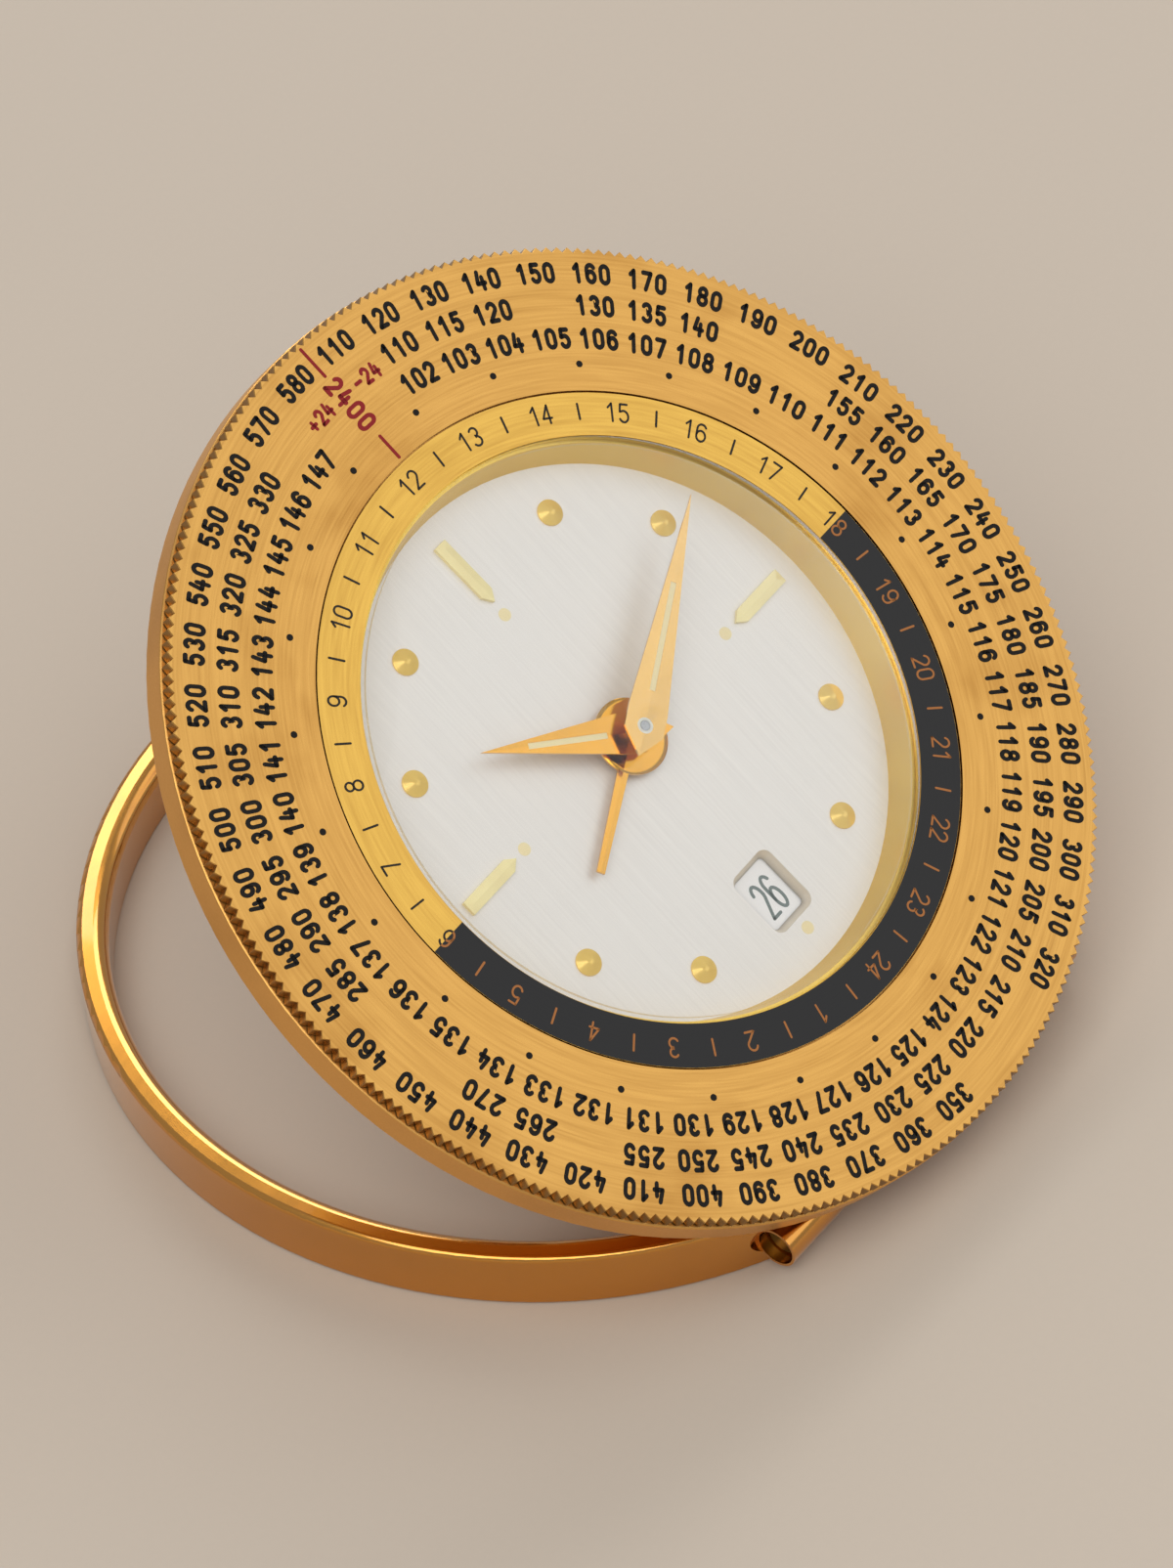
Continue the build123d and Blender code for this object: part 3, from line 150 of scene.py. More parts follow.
class ClockColours(bpy.types.PropertyGroup):
    bezel: colour("Bezel", "Brushed gilt of the bezel", 212, 163, 88)
    bezel_stain: colour("Bezel stain", "Tarnish on the bezel", 158, 104, 42)
    # Painted shade: this darker gilt is painted on the notch walls and on every face behind the
    # brushed front, where shade falls.
    bezel_edge: colour("Bezel edge", "Darker gilt in the notches and behind the face", 120, 92, 56)
    hour_gold: colour("Hour ring", "Gilt half of the 24-hour ring", 219, 176, 86)
    rehaut: colour("Rehaut", "Gilt cone between the ring and the dial", 244, 206, 96)
    polished: colour("Polished gilt", "Polished gilt of the stand and keys", 218, 150, 54)
    satin: colour("Satin gilt", "Satin gilt of the case", 234, 177, 98)
    hand: colour("Minute hand", "Gilt of the minute hand", 228, 184, 108)
    low_hand: colour("Lower hands", "Gilt of the hour and alarm hands", 230, 168, 52)
    marker: colour("Markers", "Gilt of the round hour markers", 255, 216, 112)
    baton: colour("Batons", "Pale gilt of the long hour markers", 255, 240, 178)
    dial: colour("Dial", "Silvered dial", 246, 240, 234)
    lume: colour("Lume", "Luminous paint", 255, 238, 188)
    black: colour("Black print", "Black filling of the engraving", 20, 15, 11)
    red: colour("Red print", "Red filling of the date line", 146, 22, 26)
    window: colour("Window edge", "Bevelled edge of the date window", 236, 224, 206)
    lacquer: colour("Black lacquer", "Dark half of the 24-hour ring", 12, 12, 14)
    copper: colour("Copper print", "Numerals on the dark half", 174, 108, 50)
    # Painted shade: the bevel's colour is set a little darker and warmer than the dial's, for the
    # shade on it.
    date_ink: colour("Date print", "Print of the date ring", 126, 138, 134)
    date_ground: colour("Date ring", "Ground of the date ring", 255, 252, 250)
    steel: colour("Steel", "Turned steel", 176, 178, 180)
    cannon: colour("Cannon pinion", "Bright steel of the cannon pinion", 224, 220, 208)
    spring: colour("Spring steel", "Tempered steel", 92, 98, 118)
    movement: colour("Movement brass", "Machined brass of the movement", 222, 184, 108)
    # Painted shade: the pin sits recessed in the tube's end, so it is given a dark brass for the
    # shade there.
    pin: colour("Hinge pin", "Dark brass of the hinge pin", 120, 104, 62)
    floor: colour("Floor", "Plain floor", 199, 186, 171)


# Shader expressions
class Value:
    """A number that varies over a surface; each sum or product of it adds a Math node."""

    def __init__(self, paint, socket):
        self.paint = paint
        self.socket = socket

    def maths(self, operation, first, second=0.0, clamp=False):
        settings = {"operation": operation, "use_clamp": clamp}
        made = self.paint.node("ShaderNodeMath", settings, {0: first, 1: second})
        return Value(self.paint, made.outputs[0])

    def __add__(self, other):
        return self.maths("ADD", self, other)

    def __radd__(self, other):
        return self.maths("ADD", other, self)

    def __sub__(self, other):
        return self.maths("SUBTRACT", self, other)

    def __rsub__(self, other):
        return self.maths("SUBTRACT", other, self)

    def __mul__(self, other):
        return self.maths("MULTIPLY", self, other)

    def __rmul__(self, other):
        return self.maths("MULTIPLY", other, self)

    def __truediv__(self, other):
        return self.maths("DIVIDE", self, other)

    def __rtruediv__(self, other):
        return self.maths("DIVIDE", other, self)

    def __pow__(self, other):
        return self.maths("POWER", self, other)

    def __rpow__(self, other):
        return self.maths("POWER", other, self)

    def __gt__(self, other):
        return self.maths("GREATER_THAN", self, other)

    def __lt__(self, other):
        return self.maths("LESS_THAN", self, other)

    def __abs__(self):
        return self.maths("ABSOLUTE", self)

    def clamped(self):
        """The number cut off below 0 and above 1."""
        return self.maths("ADD", self, 0.0, clamp=True)

    def between(self, low, high):
        """0 below the low value, 1 above the high one, and even in between."""
        return ((self - low) / (high - low)).clamped()

    def about(self, middle, spread):
        """A change from 0 to 1 brought to a spread about a middle."""
        return self * spread + (middle - spread / 2)


class Paint:
    """A material that is built up one node at a time."""

    def __init__(self, name):
        self.material = bpy.data.materials.new(name)
        self.material.use_nodes = True
        self.tree = self.material.node_tree
        self.shader = self.tree.nodes["Principled BSDF"]
        self.out = self.tree.nodes["Material Output"]

    def node(self, kind, settings, inputs):
        """Adds a node: its settings first, then its sockets' values or links."""
        made = self.tree.nodes.new(kind)
        for name, value in settings.items():
            setattr(made, name, value)
        for socket, value in inputs.items():
            self.feed(made.inputs[socket], value)
        return made

    def feed(self, socket, value):
        """Gives a socket a link from a value or another socket, or else a fixed value."""
        if isinstance(value, Value):
            self.tree.links.new(value.socket, socket)
        elif isinstance(value, bpy.types.NodeSocket):
            self.tree.links.new(value, socket)
        elif socket.type == "RGBA":
            socket.default_value = (*value, 1.0)
        else:
            socket.default_value = value

    def place(self):
        """The point being shaded, in the row frame."""
        return self.node("ShaderNodeTexCoord", {}, {}).outputs["Object"]

    def along(self, direction):
        """How far a point lies from the face's centre along a direction."""
        offset = self.node("ShaderNodeVectorMath", {"operation": "SUBTRACT"},
                           {0: self.place(), 1: CENTRE})
        dotted = self.node("ShaderNodeVectorMath", {"operation": "DOT_PRODUCT"},
                           {0: offset.outputs[0], 1: direction})
        return Value(self, dotted.outputs["Value"])

    def vector(self, x, y, z):
        return self.node("ShaderNodeCombineXYZ", {}, {0: x, 1: y, 2: z}).outputs[0]

    def noise(self, where, scale=1.0, detail=2.0):
        made = self.node("ShaderNodeTexNoise", {},
                         {"Vector": where, "Scale": scale, "Detail": detail})
        return Value(self, made.outputs[0])

    def mix(self, share, first, second):
        """A colour between two, by a share that may vary."""
        made = self.node("ShaderNodeMix", {"data_type": "RGBA"}, {0: share, 6: first, 7: second})
        return made.outputs[2]

    def bump(self, height, distance):
        made = self.node("ShaderNodeBump", {}, {"Height": height, "Distance": distance})
        return made.outputs["Normal"]

    def around(self, streaks, wander):
        """Noise drawn out into rings about the face's centre, so many streaks to the metre."""
        x, y = self.along(ACROSS), self.along(UP)
        radius = radius_at(x, y)
        where = self.vector(radius * streaks, x / radius * wander, y / radius * wander)
        return self.noise(where, detail=3.0)

    def upright(self, streaks, wander):
        """Noise drawn out into upright lines, so many streaks to the metre."""
        where = self.vector(self.along(ACROSS) * streaks, self.along(UP) * wander, 0.0)
        return self.noise(where, detail=3.0)

    def patches(self, size, low, high):
        """Soft patches of a size in metres: 0 below the low share of the noise, 1 above the high
        one."""
        return self.noise(self.place(), 1 / size, 3.0).between(low, high)

    def surface(self, **inputs):
        """Feeds the shader's sockets by their names in small letters, and gives the material."""
        for name, value in inputs.items():
            socket = name.replace("_", " ").title().replace("Ior", "IOR")
            self.feed(self.shader.inputs[socket], value)
        return self.material


def radius_at(x, y):
    """The radius of a point from its values across and up from a centre."""
    return (x * x + y * y) ** 0.5


def blended(fine, broad):
    """A fine and a broad grain as one."""
    fine_share = 0.65
    return fine * fine_share + broad * (1 - fine_share)


# Grains or streaks to the metre
METAL_GRAIN = 5200.0
DIAL_BROAD_GRAIN = 3400.0
TOOL_MARKS = 4200.0
LACQUER_GRAIN = 7000.0
PRINT_GRAIN = 6000.0
FLOOR_GRAIN = 1500.0

# Heights of the finest relief
BRUSHED_RELIEF = 0.03 * MM
DIAL_RELIEF = 0.008 * MM
FINE_RELIEF = 0.004 * MM
MARKER_RELIEF = 0.002 * MM
SCRATCH_RELIEF = 0.0015 * MM

# How strongly the stain shows in brushed lines, and the painted shade on the gilt behind the
# brushed front
LINE_STRENGTH = 0.4
PAINTED_SHADE_STRENGTH = 0.7
# Scratches of a polish to the metre, across, up and out
SCRATCHES = (300.0, 2600.0, 900.0)
# A hand's ridge falls by this share of the way from it, and its hub is rounded off this wide
# and deep.
RIDGE_SLOPE = 0.13
HUB_ROUND_WIDTH = 0.4 * MM
HUB_ROUND_DROP = 0.1 * MM


def brushed(name, shade, stain, edge, roughness=0.3, streaks=METAL_GRAIN, stained=0.4):
    """Gilt brushed round the face, with soft tarnish, and painted shade behind the brushed front.
    """
    paint = Paint(name)
    grain = blended(paint.around(streaks, wander=5.0), paint.around(streaks / 4, wander=3.0))
    tarnish = paint.patches(9 * MM, low=0.54, high=0.78) * stained
    lines = grain.between(0.4, 0.785) * LINE_STRENGTH
    front = paint.mix((tarnish + lines).clamped(), shade, stain)
    # Painted shade: faces behind the brushed front, such as the notch walls, are mixed towards the
    # darker edge colour.
    behind = (paint.along(OUT) < -PAINTED_SHADE_DEPTH) * PAINTED_SHADE_STRENGTH
    return paint.surface(base_color=paint.mix(behind, front, edge), metallic=1.0,
                         roughness=grain.about(roughness, spread=0.3),
                         normal=paint.bump(grain, BRUSHED_RELIEF))


def polished(name, shade, dark, roughness, ridge=None, hub=None):
    """Polished gilt with smears and fine scratches; a hand has a ridge along its clock angle, and
    its hub is rounded off outside a radius."""
    paint = Paint(name)
    x, y, z = paint.along(ACROSS), paint.along(UP), paint.along(OUT)
    smears = paint.patches(7 * MM, low=0.42, high=0.74)
    scratches = paint.noise(paint.vector(x * SCRATCHES[0], y * SCRATCHES[1], z * SCRATCHES[2]))
    height = scratches * SCRATCH_RELIEF
    if ridge is not None:
        turn = math.radians(ridge)
        aside = paint.along(ACROSS * math.cos(turn) - UP * math.sin(turn))
        height = height - abs(aside) * RIDGE_SLOPE
    if hub is not None:
        fall = radius_at(x, y).between(hub, hub + HUB_ROUND_WIDTH)
        height = height - fall * fall * HUB_ROUND_DROP
    return paint.surface(base_color=paint.mix(smears * 0.12, shade, dark), metallic=1.0,
                         coat_weight=1.0, coat_ior=1.5,
                         roughness=smears * 0.07 + scratches.about(roughness - 0.02, spread=0.04),
                         normal=paint.bump(height, 1.0))


def satin(name, shade, dark, roughness=0.42):
    """Gilt with an even, finely blasted surface."""
    paint = Paint(name)
    speck = paint.noise(paint.place(), METAL_GRAIN)
    worn = paint.patches(11 * MM, low=0.5, high=0.8)
    return paint.surface(base_color=paint.mix(worn * 0.25 + speck * 0.1, shade, dark),
                         metallic=1.0, roughness=speck.about(roughness, spread=0.16),
                         normal=paint.bump(speck, FINE_RELIEF))


def marker_gilt(name, shade, dark, metallic=0.25):
    """Bright gilt of the hour markers, lacquered, so that most of its light is soft."""
    paint = Paint(name)
    cloud = paint.patches(3 * MM, low=0.4, high=0.8)
    speck = paint.noise(paint.place(), METAL_GRAIN)
    return paint.surface(base_color=paint.mix(cloud * 0.15, shade, dark), metallic=metallic,
                         roughness=speck.about(0.19, spread=0.1),
                         normal=paint.bump(speck, MARKER_RELIEF))


def silvered(name, shade, edge):
    """The silvered dial, with its upright grain and a painted shade on its window's bevel."""
    paint = Paint(name)
    grain = blended(paint.upright(METAL_GRAIN, wander=90.0),
                    paint.upright(DIAL_BROAD_GRAIN, wander=60.0))
    face = paint.mix(grain, scaled(shade, 0.86), scaled(shade, 1.1))
    # Painted shade: the window's bevel darkens with depth to under half its colour at its foot,
    # where the gap by the date ring lies in shadow.
    sunk = (0.0 - paint.along(OUT)).between(DIAL_DEPTH, DIAL_DEPTH + DIAL_THICKNESS)
    bevel = paint.mix(sunk ** 3.0, edge, scaled(edge, 0.45))
    below_face = sunk > 0.03
    return paint.surface(base_color=paint.mix(below_face, face, bevel), metallic=0.3,
                         roughness=grain.about(0.44, spread=0.2),
                         normal=paint.bump(grain, DIAL_RELIEF))


def painted(name, shade, roughness, speckle, grain=PRINT_GRAIN):
    """Print, paint or lume: a matt colour with a fine uneven surface."""
    paint = Paint(name)
    speck = paint.noise(paint.place(), grain)
    return paint.surface(base_color=paint.mix(speck, scaled(shade, 1 - speckle), shade),
                         metallic=0.0, specular_ior_level=0.25,
                         roughness=speck.about(roughness, spread=0.2),
                         normal=paint.bump(speck, FINE_RELIEF))


def lacquered(name, shade):
    """Black lacquer over the brushed ring."""
    paint = Paint(name)
    grain = paint.around(LACQUER_GRAIN, wander=2.0)
    sheen = 0.004
    lighter = tuple(channel * 1.5 + sheen for channel in shade)
    return paint.surface(base_color=paint.mix(grain, shade, lighter), metallic=0.0,
                         specular_ior_level=0.36, roughness=grain.about(0.38, spread=0.16),
                         normal=paint.bump(grain, FINE_RELIEF))


def two_inks(name, upper, lower, turn):
    """Numerals of the 24-hour ring: one ink on the gilt half, the other on the dark half."""
    paint = Paint(name)
    half = paint.along(UP * math.cos(turn) + ACROSS * math.sin(turn))
    speck = paint.noise(paint.place(), PRINT_GRAIN)
    dust = (0.12, 0.1, 0.08)
    faded = paint.mix(speck * 0.2, paint.mix(half > 0.0, lower, upper), dust)
    return paint.surface(base_color=faded, metallic=0.0, specular_ior_level=0.25,
                         roughness=speck.about(0.5, spread=0.2))


def turned_metal(name, shade, roughness=0.28):
    """Machined metal of the movement, with fine tool marks."""
    paint = Paint(name)
    marks = paint.upright(TOOL_MARKS, wander=900.0)
    cloud = paint.patches(4 * MM, low=0.35, high=0.75)
    return paint.surface(base_color=paint.mix(cloud * 0.3, shade, scaled(shade, 0.72)),
                         metallic=1.0, roughness=marks.about(roughness, spread=0.2),
                         normal=paint.bump(marks, FINE_RELIEF))


def clear_glass(name):
    """The crystal: clear, with Fresnel gloss and no dark shadow."""
    paint = Paint(name)
    haze = paint.patches(12 * MM, low=0.4, high=0.9)
    fresnel = Value(paint, paint.node("ShaderNodeFresnel", {}, {"IOR": 1.45}).outputs[0])
    gloss = paint.node("ShaderNodeBsdfGlossy", {},
                       {"Color": (0.9, 0.92, 0.95), "Roughness": haze * 0.03})
    clear = paint.node("ShaderNodeBsdfTransparent", {}, {"Color": (0.985, 0.99, 0.99)})
    gloss_share = 0.5
    mixed = paint.node("ShaderNodeMixShader", {},
                       {0: fresnel * gloss_share, 1: clear.outputs[0], 2: gloss.outputs[0]})
    paint.feed(paint.out.inputs["Surface"], mixed.outputs[0])
    return paint.material


# Numerals drawn with a line of even width
DIGIT_WIDTH_SHARE = 0.56
GAP_SHARE = 0.1
DATE_SQUEEZE = 0.5
DATE_GAP_SHARE = 0.157
# A closed four fills up where its line is a larger share of its height than this.
BOLD_SHARE = 0.19
# Degrees: the longest step of an arc, and the least turn that counts as a sharp corner
ARC_STEP = 20
SHARP_TURN = 50
# Spans of the half circle at a line's end, and sides of a dot
END_SPANS = 5
DOT_SIDES = 20
# A line is closed where its ends lie nearer than this share of its half width, and a bend's
# corner reaches no further than the half width over this share.
CLOSED_SHARE = 0.1
BEND_SHARE = 0.5


def arc(centre_x, centre_y, radius_x, radius_y, start, end):
    """Points of an elliptical arc in shares of the digit's height, angles in degrees."""
    steps = max(3, round(abs(end - start) / ARC_STEP))
    turns = [math.radians(start + (end - start) * step / steps) for step in range(steps + 1)]
    return [(centre_x + radius_x * math.cos(turn), centre_y + radius_y * math.sin(turn))
            for turn in turns]


def digit_strokes():
    """Each digit as lines of points in shares of its height, from its lower left corner."""
    wide = DIGIT_WIDTH_SHARE
    mid = wide / 2
    bowl = 0.31
    eight_top = 0.235
    eight_foot = 0.27
    bar = 0.45
    six = [arc(mid, 1 - mid, mid, mid, 30, 180) + [(0.0, bowl)],
           arc(mid, bowl, mid, bowl, 0, 360)]
    return {
        "0": [arc(mid, 1 - mid, mid, mid, 0, 180) + arc(mid, mid, mid, mid, 180, 360)
              + [(wide, 1 - mid)]],
        "1": [[(0.1, 0.76), (0.34, 1.0), (0.34, 0.0)]],
        "2": [arc(mid, 1 - mid, mid, mid, 165, -30) + [(0.0, 0.0), (wide, 0.0)]],
        "3": [arc(mid, 0.76, mid * 0.9, 0.24, 150, -90) + arc(mid, 0.26, mid, 0.26, 90, -150)],
        "4": [[(0.4, 0.0), (0.4, 1.0), (0.0, 0.28), (wide, 0.28)]],
        "5": [[(wide * 0.92, 1.0), (0.08, 1.0), (0.04, 0.58)]
              + arc(mid, 0.32, mid, 0.32, 118, -150)],
        "6": six,
        "7": [[(0.0, 1.0), (wide, 1.0), (0.2, 0.0)]],
        "8": [arc(mid, 1 - eight_top, mid * 0.88, eight_top, -90, 270),
              arc(mid, eight_foot, mid, eight_foot, 90, 450)],
        "9": [[(wide - x, 1 - y) for x, y in line] for line in six],
        "+": [[(0.0, bar), (wide, bar)], [(mid, bar - mid), (mid, bar + mid)]],
        "-": [[(0.0, bar), (wide, bar)]],
    }


DIGITS = digit_strokes()
OPEN_FOUR = [[(0.16, 1.0), (0.0, 0.34), (DIGIT_WIDTH_SHARE, 0.34)], [(0.4, 0.68), (0.4, 0.0)]]


def strokes_of(character, height, stroke):
    """A character's lines, with an open four in bold numerals."""
    return OPEN_FOUR if character == "4" and stroke > BOLD_SHARE * height else DIGITS[character]


def corner_parts(line):
    """A line cut at its sharp corners, so that round ends can meet there."""
    parts, part = [], [line[0]]
    for before, point, after in zip(line, line[1:], line[2:]):
        part.append(point)
        arriving = Vector(point) - Vector(before)
        leaving = Vector(after) - Vector(point)
        if arriving.angle(leaving, 0.0) > math.radians(SHARP_TURN):
            parts.append(part)
            part = [point]
    return [*parts, [*part, line[-1]]]


def add_stroke(mesh, line, half_width, spot):
    """Adds a strip of even width with round ends; spot turns a flat point into one of space."""
    for part in corner_parts(line):
        add_strip(mesh, part, half_width, spot)


def add_strip(mesh, line, half_width, spot):
    """Adds one smooth strip, closed where its ends meet, and else with round ends."""
    points = [Vector(point) for point in line]
    closed = (points[0] - points[-1]).length < half_width * CLOSED_SHARE and len(points) > 3
    if closed:
        points = points[:-1]
    count = len(points)
    left, right = [], []
    for index, point in enumerate(points):
        before = points[index - 1] if closed or index else None
        after = points[(index + 1) % count] if closed or index < count - 1 else None
        arriving = (after - point if before is None else point - before).normalized()
        leaving = arriving if after is None else (after - point).normalized()
        middle = (arriving + leaving).normalized()
        normal = Vector((-middle.y, middle.x))
        reach = half_width / max(BEND_SHARE, normal.dot(Vector((-leaving.y, leaving.x))))
        left.append(mesh.verts.new(spot(*(point + normal * reach))))
        right.append(mesh.verts.new(spot(*(point - normal * reach))))
    for index in range(count if closed else count - 1):
        following = (index + 1) % count
        mesh.faces.new((left[index], right[index], right[following], left[following]))
    if not closed:
        add_round_end(mesh, points[0], points[1], half_width, left[0], right[0], spot)
        add_round_end(mesh, points[-1], points[-2], half_width, right[-1], left[-1], spot)


def add_round_end(mesh, end, neighbour, half_width, first, last, spot):
    """Closes a strip's end with a half circle between its two corners."""
    heading = math.atan2(end.y - neighbour.y, end.x - neighbour.x)
    cap = []
    for step in range(1, END_SPANS):
        turn = heading + math.radians(90 - step * 180 / END_SPANS)
        cap.append(mesh.verts.new(spot(end.x + half_width * math.cos(turn),
                                       end.y + half_width * math.sin(turn))))
    mesh.faces.new([first, *reversed(cap), last])


def add_character(mesh, lines, width, height, offset, half_width, spot):
    """Adds a character's lines, given in shares, around a middle that is offset sideways."""
    for line in lines:
        points = [((x - DIGIT_WIDTH_SHARE / 2) * width + offset, (y - 0.5) * height)
                  for x, y in line]
        add_stroke(mesh, points, half_width, spot)


def offsets(text, advance):
    """Each character of a text with its distance from the text's middle."""
    first = -(len(text) - 1) / 2
    return [(character, (first + index) * advance) for index, character in enumerate(text)]


def add_text(mesh, text, radius, angle, height, stroke, rise, squeeze=0.84, inwards=False):
    """Adds numerals along a circle of the face, their tops outwards, or numerals that read
    inwards along a radius, centred on an angle."""
    inked = height - stroke
    advance = DIGIT_WIDTH_SHARE * inked * squeeze + stroke + GAP_SHARE * inked
    for character, offset in offsets(text, advance):
        if inwards:
            spot = turned_spot(angle + 90, rise, clock_place(radius - offset, angle), squeeze)
        else:
            own_angle = angle + math.degrees(offset / radius)
            spot = turned_spot(own_angle, rise, clock_place(radius, own_angle), squeeze)
        lines = strokes_of(character, height, stroke)
        add_character(mesh, lines, inked, inked, 0.0, stroke / 2, spot)


def add_date(mesh, text, radius, angle, height, stroke, rise):
    """Adds a narrow upright date numeral whose foot points outwards."""
    inked = height - stroke
    width = DATE_SQUEEZE * inked
    advance = DIGIT_WIDTH_SHARE * width + DATE_GAP_SHARE * inked
    spot = turned_spot(angle + 180, rise, clock_place(radius, angle))
    for character, offset in offsets(text, advance):
        add_character(mesh, DIGITS[character], width, inked, offset, stroke / 2, spot)


def add_bar(mesh, radius_from, radius_to, angle, width, rise):
    """Adds a radial bar with round ends."""
    line = [(0.0, radius_from), (0.0, radius_to)]
    add_stroke(mesh, line, width / 2, turned_spot(angle, rise))


def add_dot(mesh, x, y, size, rise):
    """Adds a flat round dot."""
    turns = [2 * math.pi * side / DOT_SIDES for side in range(DOT_SIDES)]
    mesh.faces.new([mesh.verts.new(on_face(x + size / 2 * math.cos(turn),
                                           y + size / 2 * math.sin(turn), rise))
                    for turn in turns])


# Making pieces
def add_object(name, data):
    """Puts a new object into the scene."""
    thing = bpy.data.objects.new(name, data)
    bpy.context.scene.collection.objects.link(thing)
    return thing


def add_mesh(name, mesh, material):
    """Turns a bmesh into an object of one material."""
    data = bpy.data.meshes.new(name)
    mesh.to_mesh(data)
    mesh.free()
    data.materials.append(material)
    return add_object(name, data)


def make_piece(name, mesh, material, body, thickness=0.0):
    """Turns a bmesh into a piece that rides on a body."""
    bmesh.ops.recalc_face_normals(mesh, faces=mesh.faces[:])
    piece = add_mesh(name, mesh, material)
    if thickness:
        solid = piece.modifiers.new("thickness", "SOLIDIFY")
        solid.thickness = thickness
        solid.offset = 0.0
    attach(piece, body)
    return piece


def dress(material, *nodes):
    """Gives a material to CAD nodes."""
    for name in nodes:
        piece = frame["nodes"][name]
        if not piece.material_slots:
            piece.data.materials.append(material)
        for slot in piece.material_slots:
            slot.material = material


STEPS_IN_NOTCH = 6


def bezel_outline(sizes, place):
    """The bezel's section at a place in a notch, 0 to 1: its radii and heights over the face."""
    inner, hub_inner, hub_outer = 28.05 * MM, 29.0 * MM, 30.6 * MM
    rear, hub_rear, lip = -1.1 * MM, -2.6 * MM, -0.55 * MM
    land = sizes.bezel_radius - sizes.notch_depth - 2 * sizes.edge_break
    edge = sizes.bezel_radius - sizes.notch_depth * abs(1 - 2 * place)
    return [(inner, 0), (land, 0), (edge - sizes.edge_break, 0), (edge, -sizes.edge_break),
            (edge, rear), (hub_outer, rear), (hub_outer, hub_rear), (hub_inner, hub_rear),
            (hub_inner, lip), (inner, lip)]


def make_bezel(sizes, material):
    """Makes the turning ring with its pointed notches and their broken edge."""
    mesh = bmesh.new()
    steps = sizes.notch_count * STEPS_IN_NOTCH
    sections = []
    for step in range(steps):
        turn = 2 * math.pi * step / steps
        radial = ACROSS * math.cos(turn) + UP * math.sin(turn)
        outline = bezel_outline(sizes, step % STEPS_IN_NOTCH / STEPS_IN_NOTCH)
        sections.append([mesh.verts.new(CENTRE + radial * radius + OUT * height)
                         for radius, height in outline])
    for section, after in zip(sections, sections[1:] + sections[:1]):
        for index in range(len(section)):
            following = (index + 1) % len(section)
            mesh.faces.new((section[index], after[index], after[following], section[following]))
    return make_piece("bezel_ring", mesh, material, "bezel")


class CLOCK_OT_case(bpy.types.Operator):
    """Finishes the case, bezel and rings"""
    bl_idname = "clock.case"
    bl_label = "Case and bezel"
    bl_options = {"REGISTER", "UNDO"}

    def execute(self, context):
        colours = context.scene.clock_colours
        # The brushed gilt of the bezel and of the hour ring carries painted shade on the faces
        # behind their fronts.
        gilt = brushed("bezel gilt", colours.bezel, colours.bezel_stain, colours.bezel_edge)
        dress(gilt, "bezel")
        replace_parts(make_bezel(context.scene.clock_sizes, gilt), "bezel")
        dress(brushed("hour ring gilt", colours.hour_gold, colours.bezel_stain, colours.bezel_edge,
                      roughness=0.28, streaks=4500.0, stained=0.15), "hour_ring")
        dress(satin("rehaut gilt", colours.rehaut, colours.bezel_stain, 0.34), "rehaut")
        dress(satin("case gilt", colours.satin, colours.bezel_stain), "case_body", "case_back")
        dress(clear_glass("crystal"), "crystal")
        return {"FINISHED"}


class CLOCK_OT_stand(bpy.types.Operator):
    """Finishes the ring stand, hinge, keys and knobs"""
    bl_idname = "clock.stand"
    bl_label = "Stand and fittings"
    bl_options = {"REGISTER", "UNDO"}

    def execute(self, context):
        colours = context.scene.clock_colours
        dress(polished("stand gilt", colours.polished, colours.bezel_stain, 0.17),
              "stand_ring", "stand_knuckles", "hinge_leaf", "time_key", "alarm_key",
              "hand_set_knob", "alarm_set_knob", "alarm_stop")
        dress(turned_metal("screw steel", colours.steel, 0.22),
              "leaf_screws", "back_screws", "plate_screws")
        # Painted shade: the recessed hinge pin gets the dark brass colour.
        dress(turned_metal("pin brass", colours.pin, 0.5), "hinge_pin")
        return {"FINISHED"}


class CLOCK_OT_movement(bpy.types.Operator):
    """Finishes the movement's plates, wheels and springs"""
    bl_idname = "clock.movement"
    bl_label = "Movement"
    bl_options = {"REGISTER", "UNDO"}

    def execute(self, context):
        colours = context.scene.clock_colours
        dress(turned_metal("movement brass", colours.movement),
              "hour_wheel", "alarm_wheel", "minute_wheel", "date_driver", "calendar_plate",
              "main_plate", "back_plate", "pillars", "intermediate_wheel", "third_wheel",
              "fourth_wheel", "balance_wheel", "balance_cock", "time_barrel", "alarm_barrel")
        dress(turned_metal("wheel steel", colours.steel),
              "centre_wheel", "escape_wheel", "pallet_lever", "regulator_lever", "time_arbor",
              "alarm_arbor", "clicks", "strike_wheel", "alarm_hammer")
        dress(turned_metal("cannon steel", colours.cannon, 0.4), "cannon_pinion")
        dress(turned_metal("spring steel", colours.spring, 0.3),
              "bezel_snap_ring", "date_jumper", "gong_wire", "hairspring", "time_mainspring",
              "alarm_mainspring")
        dress(painted("washer", colours.dial, roughness=0.5, speckle=0.12), "bezel_washer")
        return {"FINISHED"}


